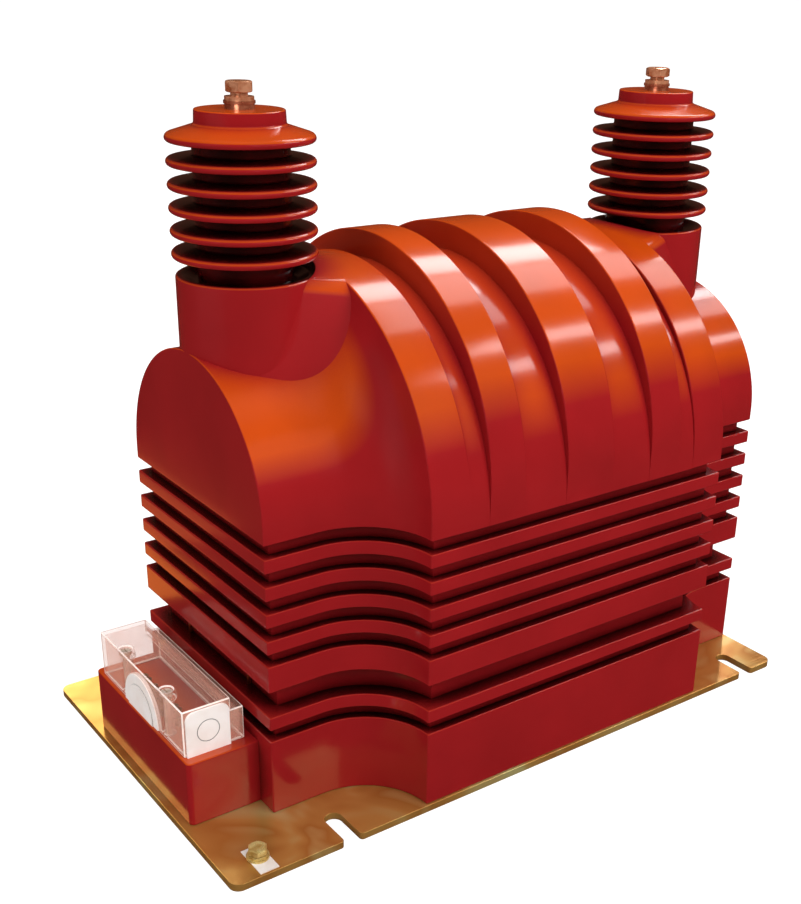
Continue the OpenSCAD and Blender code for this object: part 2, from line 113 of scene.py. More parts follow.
@dataclass(frozen=True)
class Finish:
    """A surface finish: a Principled material that its subclasses dress with nodes."""

    name: str
    base: str
    roughness: float = 0.4
    metallic: float = 0.0
    ior: float = 1.5

    def material(self) -> bpy.types.Material:
        """Makes the finish's material.

        Returns:
            The material, new or already made under this name.
        """
        made = bpy.data.materials.get(self.name)
        if made:
            return made
        made = bpy.data.materials.new(self.name)
        made.use_nodes = True
        made.diffuse_color = linear(self.base)
        tree = made.node_tree
        shader = tree.nodes["Principled BSDF"]
        shader.inputs["Base Color"].default_value = linear(self.base)
        shader.inputs["Roughness"].default_value = self.roughness
        shader.inputs["Metallic"].default_value = self.metallic
        shader.inputs["IOR"].default_value = self.ior
        self.dress(tree, shader)
        return made

    def millimetres(self, tree: bpy.types.NodeTree, turn: Point = (0.0, 0.0, 0.0)) -> bpy.types.NodeSocket:
        """Gives the object's own coordinates in millimetres.

        Args:
            tree: node tree of the material.
            turn: rotation of the pattern in degrees.

        Returns:
            The vector socket.
        """
        place = add_node(tree, "ShaderNodeTexCoord", {})
        angles = Euler([math.radians(a) for a in turn])
        return add_node(
            tree, "ShaderNodeMapping",
            {"Vector": place.outputs["Object"], "Rotation": angles, "Scale": (PER_METRE,) * 3},
        ).outputs["Vector"]

    def bumps(
        self, tree: bpy.types.NodeTree, shader: bpy.types.Node, height: bpy.types.NodeSocket, depth: float
    ) -> None:
        """Links a height pattern to the shader's normal.

        Args:
            tree: node tree of the material.
            shader: the Principled shader.
            height: pattern between 0 and 1.
            depth: its full height in millimetres.
        """
        bump = add_node(tree, "ShaderNodeBump", {"Strength": 1.0, "Distance": depth * MM, "Height": height})
        tree.links.new(bump.outputs["Normal"], shader.inputs["Normal"])

    def dress(self, tree: bpy.types.NodeTree, shader: bpy.types.Node) -> None:
        """Adds the finish's nodes.

        Args:
            tree: node tree of the material.
            shader: the Principled shader.
        """
        raise NotImplementedError(self.name)


@dataclass(frozen=True)
class CastResin(Finish):
    """Quartz-filled epoxy from a polished mould: deep brick red, glossy, slightly wavy in its highlights.

    Faces that look up into the open take a painted orange sheen, the rings' walls near the crest a painted
    warm reflection, and deep gaps a painted shade. Pairs of numbers are the two ends of a soft change.
    """

    # Painted sheen: the orange that open tops and the rings' upper walls take in place of a warm reflection.
    painted_sheen_colour: str = "c8480c"
    sheen: str = "f4fcff"
    coat: float = 0.12
    coat_roughness: float = 0.09
    wave: float = 9.0
    wave_depth: float = 0.04
    cloud: float = 70.0
    cloud_shade: Flat = (0.90, 1.08)
    # Painted shade: how far the occlusion looks, the openness over which deep gaps darken, and their darkest.
    reach: float = 36.0
    gap: Flat = (0.10, 0.40)
    painted_shade_darkest: float = 0.40
    # Where the painted sheen comes in: how far a face looks up, how open it is, off the ribs, and on the
    # walls near the crest.
    upward: Flat = (0.32, 0.50)
    open_air: Flat = (0.72, 0.93)
    ribs_middle: float = 145.0
    ribs_end: Flat = (76.0, 86.0)
    ribs_painted_sheen: float = 0.25
    arch_middle: float = 31.0
    arch_end: Flat = (122.0, 130.0)
    crest: Flat = (345.0, 430.0)
    crest_painted_sheen: float = 0.7

    def dress(self, tree: bpy.types.NodeTree, shader: bpy.types.Node) -> None:
        """Adds the painted orange sheen on open tops, painted shade in deep gaps, faint clouds and the
        mould's waviness.

        Args:
            tree: node tree of the material.
            shader: the Principled shader.
        """
        where = self.millimetres(tree)
        # Occlusion: how open each place is, which drives the painted sheen and the painted shade.
        room = add_node(
            tree, "ShaderNodeAmbientOcclusion", {"Distance": self.reach * MM}, samples=6, only_local=True
        ).outputs["AO"]
        # The painted orange sheen, mixed into the base colour by its mask.
        tone = add_node(
            tree, "ShaderNodeMix",
            {
                "Factor_Float": self.painted_sheen_mask(tree, where, room), "A_Color": linear(self.base),
                "B_Color": linear(self.painted_sheen_colour),
            },
            data_type="RGBA",
        )
        colour = add_node(
            tree, "ShaderNodeVectorMath", {0: tone.outputs[2], 1: self.clouds_and_painted_shade(tree, where, room)},
            operation="MULTIPLY",
        )
        tree.links.new(colour.outputs["Vector"], shader.inputs["Base Color"])
        shader.inputs["Specular Tint"].default_value = linear(self.sheen)
        shader.inputs["Coat Weight"].default_value = self.coat
        shader.inputs["Coat Roughness"].default_value = self.coat_roughness
        ripple = add_node(
            tree, "ShaderNodeTexNoise", {"Vector": where, "Scale": 1 / self.wave, "Detail": 2.0}
        )
        self.bumps(tree, shader, ripple.outputs["Fac"], self.wave_depth)

    def painted_sheen_mask(
        self, tree: bpy.types.NodeTree, where: bpy.types.NodeSocket, room: bpy.types.NodeSocket
    ) -> bpy.types.NodeSocket:
        """Tells how much painted orange sheen the resin takes: on open tops, and as a painted reflection on
        the rings' walls near the arch's crest.

        Args:
            tree: node tree of the material.
            where: coordinates in millimetres.
            room: how open the place is, from 0 to 1.

        Returns:
            A socket from 0 to 1.
        """
        facing = add_node(tree, "ShaderNodeNewGeometry", {})
        axes = add_node(tree, "ShaderNodeSeparateXYZ", {"Vector": facing.outputs["Normal"]})
        place = add_node(tree, "ShaderNodeSeparateXYZ", {"Vector": where})
        upper = add_node(
            tree, "ShaderNodeMapRange",
            {"Value": axes.outputs["Z"], "From Min": self.upward[0], "From Max": self.upward[1]},
        )
        free = add_node(
            tree, "ShaderNodeMapRange",
            {"Value": room, "From Min": self.open_air[0], "From Max": self.open_air[1]},
        )
        from_ribs = add_node(
            tree, "ShaderNodeMath", {0: place.outputs["Z"], 1: self.ribs_middle}, operation="SUBTRACT"
        )
        away = add_node(tree, "ShaderNodeMath", {0: from_ribs.outputs[0]}, operation="ABSOLUTE")
        past_ribs = add_node(
            tree, "ShaderNodeMapRange",
            {
                "Value": away.outputs[0], "From Min": self.ribs_end[0], "From Max": self.ribs_end[1],
                "To Min": self.ribs_painted_sheen,
            },
        )
        open_top = add_node(
            tree, "ShaderNodeMath", {0: upper.outputs["Result"], 1: free.outputs["Result"]},
            operation="MULTIPLY",
        )
        tops = add_node(
            tree, "ShaderNodeMath", {0: open_top.outputs[0], 1: past_ribs.outputs["Result"]},
            operation="MULTIPLY",
        )
        off_middle = add_node(
            tree, "ShaderNodeMath", {0: place.outputs["X"], 1: self.arch_middle}, operation="SUBTRACT"
        )
        aside = add_node(tree, "ShaderNodeMath", {0: off_middle.outputs[0]}, operation="ABSOLUTE")
        within = add_node(
            tree, "ShaderNodeMapRange",
            {
                "Value": aside.outputs[0], "From Min": self.arch_end[0], "From Max": self.arch_end[1],
                "To Min": 1.0, "To Max": 0.0,
            },
        )
        near_crest = add_node(
            tree, "ShaderNodeMapRange",
            {
                "Value": place.outputs["Z"], "From Min": self.crest[0], "From Max": self.crest[1],
                "To Max": self.crest_painted_sheen,
            },
        )
        walls = add_node(
            tree, "ShaderNodeMath", {0: within.outputs["Result"], 1: near_crest.outputs["Result"]},
            operation="MULTIPLY",
        )
        return add_node(
            tree, "ShaderNodeMath", {0: tops.outputs[0], 1: walls.outputs[0]}, operation="MAXIMUM"
        ).outputs[0]

    def clouds_and_painted_shade(
        self, tree: bpy.types.NodeTree, where: bpy.types.NodeSocket, room: bpy.types.NodeSocket
    ) -> bpy.types.NodeSocket:
        """Tells how light the resin's colour is: faint clouds, and painted shade in deep gaps.

        Args:
            tree: node tree of the material.
            where: coordinates in millimetres.
            room: how open the place is, from 0 to 1.

        Returns:
            A socket that multiplies the colour.
        """
        clouds = add_node(
            tree, "ShaderNodeTexNoise", {"Vector": where, "Scale": 1 / self.cloud, "Detail": 3.0}
        )
        shade = add_node(
            tree, "ShaderNodeMapRange",
            {
                "Value": clouds.outputs["Fac"], "From Min": NOISE_LOW, "From Max": NOISE_HIGH,
                "To Min": self.cloud_shade[0], "To Max": self.cloud_shade[1],
            },
        )
        # Painted shade: the colour darkened where the place is closed in.
        depth = add_node(
            tree, "ShaderNodeMapRange",
            {"Value": room, "From Min": self.gap[0], "From Max": self.gap[1], "To Min": self.painted_shade_darkest},
        )
        return add_node(
            tree, "ShaderNodeMath", {0: shade.outputs["Result"], 1: depth.outputs["Result"]},
            operation="MULTIPLY",
        ).outputs[0]


@dataclass(frozen=True)
class PassivatedSheet(Finish):
    """Zinc-plated sheet steel, yellow passivated: mirror-like with drifting gold, green and pink.

    A patch of colour is drift millimetres wide, and rolling gives the lines in a millimetre along each axis.
    """

    tints: tuple[tuple[float, str], ...] = (
        (0.30, "e2d892"), (0.44, "d8a658"), (0.56, "c88c44"), (0.66, "dcb870"), (0.78, "d6da98")
    )
    drift: float = 85.0
    rolling: Point = (0.02, 1.2, 1.2)
    gloss: Flat = (0.12, 0.24)
    line_depth: float = 0.004

    def dress(self, tree: bpy.types.NodeTree, shader: bpy.types.Node) -> None:
        """Adds the drifting passivation colours and the fine rolling lines.

        Args:
            tree: node tree of the material.
            shader: the Principled shader.
        """
        where = self.millimetres(tree)
        drift = add_node(
            tree, "ShaderNodeTexNoise",
            {"Vector": where, "Scale": 1 / self.drift, "Detail": 2.0, "Distortion": 0.8},
        )
        tint = add_node(
            tree, "ShaderNodeValToRGB", {"Fac": drift.outputs["Fac"]},
            stops=[(place, linear(code)) for place, code in self.tints],
        )
        tree.links.new(tint.outputs["Color"], shader.inputs["Base Color"])
        # Real rolling lines are finer than a tenth of a millimetre; these are drawn as coarse as they show.
        rolled = add_node(tree, "ShaderNodeMapping", {"Vector": where, "Scale": self.rolling})
        lines = add_node(
            tree, "ShaderNodeTexNoise", {"Vector": rolled.outputs["Vector"], "Scale": 1.0, "Detail": 3.0}
        )
        gloss = add_node(
            tree, "ShaderNodeMapRange",
            {
                "Value": lines.outputs["Fac"], "From Min": NOISE_LOW, "From Max": NOISE_HIGH,
                "To Min": self.gloss[0], "To Max": self.gloss[1],
            },
        )
        tree.links.new(gloss.outputs["Result"], shader.inputs["Roughness"])
        self.bumps(tree, shader, lines.outputs["Fac"], self.line_depth)


@dataclass(frozen=True)
class PlatedMetal(Finish):
    """Plated or bare metal hardware: polished on its flats, duller where handling has marked it."""

    worn: str = "8a6a4a"
    worn_to_base: Flat = (0.35, 0.60)
    dulling: float = 0.12
    spot: float = 6.0
    spot_depth: float = 0.01

    def dress(self, tree: bpy.types.NodeTree, shader: bpy.types.Node) -> None:
        """Adds tarnish spots and a roughness that follows them.

        Args:
            tree: node tree of the material.
            shader: the Principled shader.
        """
        where = self.millimetres(tree)
        spots = add_node(tree, "ShaderNodeTexNoise", {"Vector": where, "Scale": 1 / self.spot, "Detail": 4.0})
        tint = add_node(
            tree, "ShaderNodeValToRGB", {"Fac": spots.outputs["Fac"]},
            stops=[(self.worn_to_base[0], linear(self.worn)), (self.worn_to_base[1], linear(self.base))],
        )
        gloss = add_node(
            tree, "ShaderNodeMapRange",
            {
                "Value": spots.outputs["Fac"], "From Min": NOISE_LOW, "From Max": NOISE_HIGH,
                "To Min": self.roughness + self.dulling, "To Max": self.roughness,
            },
        )
        tree.links.new(tint.outputs["Color"], shader.inputs["Base Color"])
        tree.links.new(gloss.outputs["Result"], shader.inputs["Roughness"])
        self.bumps(tree, shader, spots.outputs["Fac"], self.spot_depth)


@dataclass(frozen=True)
class Layered(Finish):
    """A stack or winding that shows as fine parallel lines, such as laminations, wire or board.

    Laminations are 0.35 mm thick and the wire is finer still, so the pitch is as coarse as it needs to show.
    """

    other: str = "202224"
    other_to_base: Flat = (0.10, 0.45)
    pitch: float = 2.0
    along: Point = (0.0, 0.0, 0.0)

    def dress(self, tree: bpy.types.NodeTree, shader: bpy.types.Node) -> None:
        """Adds the lines across the piece, in colour and in height.

        Args:
            tree: node tree of the material.
            shader: the Principled shader.
        """
        where = self.millimetres(tree, self.along)
        lines = add_node(
            tree, "ShaderNodeTexWave",
            {"Vector": where, "Scale": WAVE_BAND / self.pitch, "Distortion": 0.15, "Detail": 1.0},
            bands_direction="X",
        )
        tint = add_node(
            tree, "ShaderNodeValToRGB", {"Fac": lines.outputs["Fac"]},
            stops=[(self.other_to_base[0], linear(self.other)), (self.other_to_base[1], linear(self.base))],
        )
        tree.links.new(tint.outputs["Color"], shader.inputs["Base Color"])
        self.bumps(tree, shader, lines.outputs["Fac"], self.pitch / 8)


@dataclass(frozen=True)
class MouldedWhite(Finish):
    """White moulded plastic: matt, a little yellowed in patches, with a fine spark-eroded grain."""

    shade: str = "cdbcb2"
    shade_to_base: Flat = (0.36, 0.60)
    patch: float = 18.0
    grit: float = 0.8
    grit_depth: float = 0.03
    # Painted shade in fine grooves: how far the occlusion looks, the openness over which it darkens, and its
    # darkest.
    crease: float = 2.0
    groove: Flat = (0.40, 0.85)
    groove_painted_shade_darkest: float = 0.12

    def dress(self, tree: bpy.types.NodeTree, shader: bpy.types.Node) -> None:
        """Adds faint patches, the dark of fine grooves and the mould's grain.

        Args:
            Adds faint patches, painted shade in fine grooves and the mould's grain.
            shader: the Principled shader.
        """
        where = self.millimetres(tree)
        patches = add_node(
            tree, "ShaderNodeTexNoise", {"Vector": where, "Scale": 1 / self.patch, "Detail": 3.0}
        )
        tint = add_node(
            tree, "ShaderNodeValToRGB", {"Fac": patches.outputs["Fac"]},
            stops=[(self.shade_to_base[0], linear(self.shade)), (self.shade_to_base[1], linear(self.base))],
        )
        # Painted shade: the colour darkened in fine grooves.
        room = add_node(
            tree, "ShaderNodeAmbientOcclusion", {"Distance": self.crease * MM}, samples=6, only_local=True
        )
        groove = add_node(
            tree, "ShaderNodeMapRange",
            {
                "Value": room.outputs["AO"], "From Min": self.groove[0], "From Max": self.groove[1],
                "To Min": self.groove_painted_shade_darkest,
            },
        )
        colour = add_node(
            tree, "ShaderNodeVectorMath", {0: tint.outputs["Color"], 1: groove.outputs["Result"]},
            operation="MULTIPLY",
        )
        tree.links.new(colour.outputs["Vector"], shader.inputs["Base Color"])
        grain = add_node(tree, "ShaderNodeTexNoise", {"Vector": where, "Scale": 1 / self.grit, "Detail": 1.0})
        self.bumps(tree, shader, grain.outputs["Fac"], self.grit_depth)


@dataclass(frozen=True)
class ClearMoulding(Finish):
    """Clear moulded plastic: a thin milky veil that thickens where it is seen edge on."""

    veil: float = 0.05
    uneven: float = 0.15
    edge_on: float = 0.5
    edge_from: float = 0.7
    flow: float = 20.0
    flow_depth: float = 0.05

    def dress(self, tree: bpy.types.NodeTree, shader: bpy.types.Node) -> None:
        """Adds the veil, which varies a little with the flow of the plastic.

        Args:
            tree: node tree of the material.
            shader: the Principled shader.
        """
        where = self.millimetres(tree)
        flow = add_node(tree, "ShaderNodeTexNoise", {"Vector": where, "Scale": 1 / self.flow, "Detail": 2.0})
        veil = add_node(
            tree, "ShaderNodeMapRange",
            {
                "Value": flow.outputs["Fac"], "From Min": NOISE_LOW, "From Max": NOISE_HIGH,
                "To Min": self.veil * (1 - self.uneven), "To Max": self.veil * (1 + self.uneven),
            },
        )
        aside = add_node(tree, "ShaderNodeLayerWeight", {"Blend": 0.5})
        grazing = add_node(
            tree, "ShaderNodeMapRange",
            {"Value": aside.outputs["Facing"], "From Min": self.edge_from, "To Max": self.edge_on},
        )
        cover = add_node(
            tree, "ShaderNodeMath", {0: veil.outputs["Result"], 1: grazing.outputs["Result"]}, operation="ADD"
        )
        tree.links.new(cover.outputs[0], shader.inputs["Alpha"])
        self.bumps(tree, shader, flow.outputs["Fac"], self.flow_depth)


# Each finish is named for the real material and how its surface was made, and some names say where light or
# shade is painted in.
# Epoxy cast in a polished mould: deep red gloss with long soft highlights, a painted orange sheen where it
# faces up and painted shade in its deep gaps.
RESIN = CastResin("cast_epoxy_brick_red", "9e1a1e", 0.16)
# The same resin on ribs and sheds, with a painted shade that falls off to black in their grooves.
GROOVE_SHADE_RESIN = CastResin("cast_epoxy_brick_red_groove_shade", "9e1a1e", 0.16, gap=(0.44, 0.70), painted_shade_darkest=0.0)
# Rolled sheet, zinc plated and yellow passivated: a gold mirror whose colour drifts.
SHEET = PassivatedSheet("yellow_passivated_sheet_steel", "c8944c", 0.18, 0.6)
# Bolts plated with copper: rosy and bright, with browner spots.
COPPERY = PlatedMetal("copper_plated_brass", "f2b086", 0.16, 0.55, worn="b4643a")
# Collars and washers of the same kind, their colour deeper all over as a painted reflection of the red resin.
COLLAR = PlatedMetal("copper_plated_collar", "cf8260", 0.20, 0.65, worn="98492e")
# Turned brass: yellow, dulled by handling.
BRASS = PlatedMetal("turned_brass", "c9a052", 0.25, 1.0, worn="8f6f34")
# Plain zinc plating: pale grey with a dull spot here and there.
ZINC = PlatedMetal("zinc_plated_steel", "ecdccc", 0.28, 0.4, worn="c6b4a2")
# Yellow zinc plating: straw yellow and satin.
YELLOW_ZINC = PlatedMetal("yellow_zinc_plated_steel", "e6d088", 0.22, 0.5, worn="c09a50")
# Enamelled wire in layers: brown lines with a dark gap between them.
WIRE = Layered("enamelled_copper_wire", "b06a34", 0.3, 0.6, other="5a2c14", pitch=1.6)
# Silicon steel sheets on edge: grey lines.
CORE = Layered("silicon_steel_laminations", "6a6d72", 0.4, 0.9, other="2c2e31", pitch=1.6, along=(0, 0, 90))
# Varnished pressboard: pale brown layers.
BOARD = Layered("varnished_pressboard", "b8995c", 0.55, other="8a6c3a", pitch=3.0)
# Bare copper rod: red brown, dull in spots.
ROD = PlatedMetal("bare_copper_rod", "c27a48", 0.3, 1.0, worn="7a4426")
# White nylon moulding: matt and even, with a painted shade in its fine grooves.
WHITE = MouldedWhite("white_moulded_nylon", "f6eeea", 0.42, shade="f0e4de")
# White card: matt, with a painted shade in its creases.
TAG = MouldedWhite("white_card_tag", "f6f2ee", 0.55, shade="e6dbd2")
# Clear polycarbonate, pressed in a mould: a faint veil on the top, milky on walls, and nearly opaque pale
# rims that are a painted highlight.
CLEAR = ClearMoulding("clear_polycarbonate", "f6c9b4", 0.08)
MILKY = ClearMoulding("milky_polycarbonate_wall", "f6bea8", 0.12, veil=0.30)
# Painted highlight: the rims nearly opaque and pale, for light caught at the cover's edges.
RIM_HIGHLIGHT = ClearMoulding("polycarbonate_rim_painted_highlight", "ffece4", 0.2, veil=0.92)

NODE_FINISHES = {
    "hv_inserts": COLLAR, "hv_bolts": COPPERY, "hv_spring_washers": COPPERY, "hv_flat_washers": COLLAR,
    "hv_leads": ROD, "core_halves": CORE, "core_straps": ZINC, "coil_former": BOARD,
    "secondary_winding": WIRE, "primary_winding": WIRE, "cover_screws": ZINC, "cover_inserts": BRASS,
    "end_plug": WHITE, "front_plug": WHITE, "secondary_studs": BRASS, "secondary_washers": BRASS,
    "secondary_nuts": BRASS, "secondary_leads": ROD, "earth_bolt": YELLOW_ZINC,
    "earth_spring_washer": YELLOW_ZINC, "earth_washer": YELLOW_ZINC, "earth_tag": TAG,
    "foot_screws": ZINC, "foot_inserts": BRASS, "base_plate": SHEET, "terminal_cover": CLEAR,
    "resin_body": RESIN,
}

# Pieces that a lamp of their own lights.
PLATE = ("base_plate_eased",)
COVER = ("terminal_cover_eased", "front_plug", "end_plug")
METALS = (
    "hv_inserts", "hv_bolts", "hv_spring_washers", "hv_flat_washers", "earth_bolt", "earth_spring_washer",
    "earth_washer", "cover_screws",
)


def soften(
    shape: bmesh.types.BMesh, radius: float, segments: int = 3, angle: float = 30.0
) -> list[bmesh.types.BMFace]:
    """Rounds every sharp outer edge of a closed shape.

    Args:
        shape: the mesh, in millimetres.
        radius: radius of the rounding.
        segments: steps across it.
        angle: edges sharper than this many degrees are rounded.

    Returns:
        The faces of the roundings.
    """
    limit = math.radians(angle)
    edges = [e for e in shape.edges if e.is_manifold and e.is_convex and e.calc_face_angle() >= limit]
    return bmesh.ops.bevel(
        shape, geom=edges, offset=radius, offset_type="OFFSET", segments=segments, profile=0.5,
        affect="EDGES", clamp_overlap=False, material=-1,
    )["faces"]


def verts_in(geom: list) -> list[bmesh.types.BMVert]:
    """Picks the points out of what an operator made.

    Args:
        geom: points, edges and faces.

    Returns:
        The points alone, in their order.
    """
    return [part for part in geom if isinstance(part, bmesh.types.BMVert)]


def settle(shape: bmesh.types.BMesh) -> None:
    """Puts a shape's points and faces in one fixed order, which the operators change from run to run.

    Args:
        shape: the mesh, in millimetres.
    """
    order = sorted(shape.verts, key=lambda vert: tuple(vert.co))
    for number, vert in enumerate(order):
        vert.index = number
    loops = []
    for face in shape.faces:
        corners = [vert.index for vert in face.verts]
        first = corners.index(min(corners))
        loops.append((corners[first:] + corners[:first], face.material_index))
    points = [vert.co.copy() for vert in order]
    shape.clear()
    verts = [shape.verts.new(point) for point in points]
    for corners, finish in sorted(loops):
        shape.faces.new([verts[corner] for corner in corners]).material_index = finish
    shape.normal_update()


def close_up(shape: bmesh.types.BMesh) -> None:
    """Merges doubled points, fills flat openings and turns the faces outwards.

    Args:
        shape: the mesh, in millimetres.
    """
    bmesh.ops.remove_doubles(shape, verts=shape.verts, dist=WELD)
    rims = [e for e in shape.edges if e.is_boundary]
    if rims:
        bmesh.ops.holes_fill(shape, edges=rims, sides=0)
    bmesh.ops.recalc_face_normals(shape, faces=shape.faces)
    settle(shape)


def draw_out(shape: bmesh.types.BMesh, face: bmesh.types.BMFace, way: Point) -> None:
    """Draws a flat face out into a closed block.

    Args:
        shape: the mesh, in millimetres.
        face: the face, which stays as the block's near end.
        way: direction and length of the block.
    """
    drawn = bmesh.ops.extrude_face_region(shape, geom=[face], use_keep_orig=True)["geom"]
    bmesh.ops.translate(shape, vec=way, verts=verts_in(drawn))
    close_up(shape)


def trim(shape: bmesh.types.BMesh, through: Vector, out: Vector) -> None:
    """Cuts a closed shape with a plane and closes the cut.

    Args:
        shape: the mesh, in millimetres.
        through: a point of the plane.
        out: direction of the side that is taken away.
    """
    geom = shape.verts[:] + shape.edges[:] + shape.faces[:]
    bmesh.ops.bisect_plane(shape, geom=geom, plane_co=through, plane_no=out.normalized(), clear_outer=True)
    close_up(shape)


def add_shape(whole: bmesh.types.BMesh, part: bmesh.types.BMesh) -> None:
    """Adds one mesh to another and frees it.

    Args:
        whole: mesh that grows.
        part: mesh that is added.
    """
    settle(part)
    carrier = bpy.data.meshes.new("carrier")
    part.to_mesh(carrier)
    part.free()
    whole.from_mesh(carrier)
    bpy.data.meshes.remove(carrier)


def make_piece(name: str, shape: bmesh.types.BMesh, finish: Finish) -> bpy.types.Object:
    """Turns a mesh in millimetres into a dressed piece that rides on the body.

    Args:
        name: name of the piece.
        shape: its mesh, freed here.
        finish: its finish.

    Returns:
        The new object.
    """
    bmesh.ops.scale(shape, vec=(MM, MM, MM), verts=shape.verts)
    for face in shape.faces:
        face.smooth = True
    mesh = bpy.data.meshes.new(name)
    shape.to_mesh(mesh)
    shape.free()
    mesh.set_sharp_from_angle(angle=SHARP)
    piece = bpy.data.objects.new(name, mesh)
    bpy.context.scene.collection.objects.link(piece)
    mesh.materials.append(finish.material())
    even = piece.modifiers.new("even_normals", "WEIGHTED_NORMAL")
    even.keep_sharp = True
    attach(piece, BODY)
    log.info("%s: %d faces", name, len(mesh.polygons))
    return piece


@dataclass(frozen=True)
class ResinCasting:
    """The one-piece resin casting: foot, ribs, arches with raised rings, bushings, webs and pedestal."""

    # Plan and levels.
    centre_x: float = 31.0
    length: float = 498.0
    narrow: float = 104.0
    wide: float = 161.0
    wide_length: float = 295.0
    plate_top: float = 6.0
    foot_top: float = 69.0
    arch_bottom: float = 227.5
    arch_axis: float = 236.5
    # Ribs and the grooves between them.
    rib: float = 11.0
    rib_pitch: float = 21.4
    thin_ribs: int = 4
    low_rib: float = 78.5
    thick_rib: float = 110.5
    thick_rib_height: float = 21.5
    groove: float = 8.0
    wide_groove: float = 14.0
    # Bands over the arch.
    ring_rise: float = 14.5
    ring_fall: float = 6.0
    end_band: float = 34.5
    ring_pitch: float = 80.0
    side_ring: float = 32.0
    middle_ring: float = 46.0
    # Bushings: the round base, the sheds on it and the cap.
    bushing_x: float = 199.0
    base_radius: float = 50.0
    base_top: float = 391.7
    base_foot: float = 262.0
    base_lip: float = 5.0
    sheds: int = 6
    shed_radius: float = 51.9
    shed_pitch: float = 15.8
    shed_z: float = 406.1
    shed_core: float = 34.0
    shed_foot: float = 9.0
    shed_rim: float = 2.4
    shed_under: float = 1.2
    shed_over: float = 2.4
    shed_root: float = 1.8
    cap_radius: float = 31.3
    cap_height: float = 9.8
    cap_top: float = 503.8
    # Webs: their slopes are in degrees, from the upright and the level.
    web_corner: Point = (-158.25, 52.48, 388.7)
    web_flare: float = 21.5
    web_fall: float = 6.9
    web_lean: float = 14.0
    web_crown: float = 72.4
    web_corner_radius: float = 17.0
    web_wrap: float = math.radians(110)
    web_low: float = 300.0
    web_sunk: float = 8.0
    web_spare: float = 20.0
    web_edge: float = 0.8
    # Fillets beside the webs: their radius grows from the top down, level by level.
    web_fillet_radius: float = 20.0
    web_fillet_top: float = 380.0
    web_fillet_drop: float = 4.0
    web_fillet_least: float = 0.5
    web_fillet_growth: float = 0.8
    web_fillet_sunk: float = 12.0
    # Pedestal under the terminals.
    pedestal: float = 58.0
    pedestal_width: float = 168.0
    pedestal_top: float = 60.0
    pedestal_corner: float = 4.0
    # Rounded edges, and the heights between which they fade out in the flat sides.
    edge: float = 1.2
    fade_from: float = 286.0
    fade_to: float = 260.0
    # How far shapes run into one another, and how far flush faces stand apart.
    lap: float = 1.0
    flush_gap: float = 0.05
    # Steps of the curves.
    web_fillet_steps: int = 8
    web_wrap_steps: int = 60
    web_top_steps: int = 15
    web_corner_steps: int = 12
    fillet_steps: int = 22
    arch_steps: int = 110
    turn_steps: int = 120

    def outline(self, shape: bmesh.types.BMesh, inset: float, height: float) -> bmesh.types.BMFace:
        """Draws the casting's plan as one face, quarter by quarter.

        Args:
            shape: mesh that takes the face.
            inset: how far its walls are moved inwards.
            height: its level.

        Returns:
            The face, centred on the casting.
        """
        half = self.length / 2 - inset
        fillet = self.wide - self.narrow
        centre = Vector((self.wide_length / 2 + fillet, self.wide, height))
        start = shape.verts.new((centre.x, self.narrow - inset, height))
        sweep = math.pi / 2 - math.asin(inset / (fillet + inset))
        turned = bmesh.ops.spin(
            shape, geom=[start], cent=centre, axis=(0, 0, 1), angle=-sweep, steps=self.fillet_steps,
            dvec=(0, 0, 0),
        )
        shoulder = verts_in(turned["geom_last"])[0]
        middle = shape.verts.new((0, shoulder.co.y, height))
        corner = shape.verts.new((half, self.narrow - inset, height))
        end = shape.verts.new((half, 0, height))
        for pair in ((middle, shoulder), (start, corner), (corner, end)):
            shape.edges.new(pair)
        for axis in ("X", "Y"):
            everything = shape.verts[:] + shape.edges[:]
            bmesh.ops.mirror(shape, geom=everything, matrix=Matrix.Identity(4), merge_dist=0.001, axis=axis)
        bmesh.ops.remove_doubles(shape, verts=shape.verts, dist=0.001)
        made = bmesh.ops.contextual_create(shape, geom=shape.edges[:])
        return made["faces"][0]

    def slab(self, low: float, high: float, inset: float, edge: float) -> bmesh.types.BMesh:
        """Makes a slab of the casting's plan with rounded edges.

        Args:
            low: its underside.
            high: its top.
            inset: how far its walls are moved inwards.
            edge: radius of its edges, or 0.

        Returns:
            The closed mesh.
        """
        shape = bmesh.new()
        draw_out(shape, self.outline(shape, inset, low), (0, 0, high - low))
        if edge:
            soften(shape, edge)
        for face in shape.faces:
            face.material_index = 1
        bmesh.ops.translate(shape, vec=(self.centre_x, 0, 0), verts=shape.verts)
        return shape

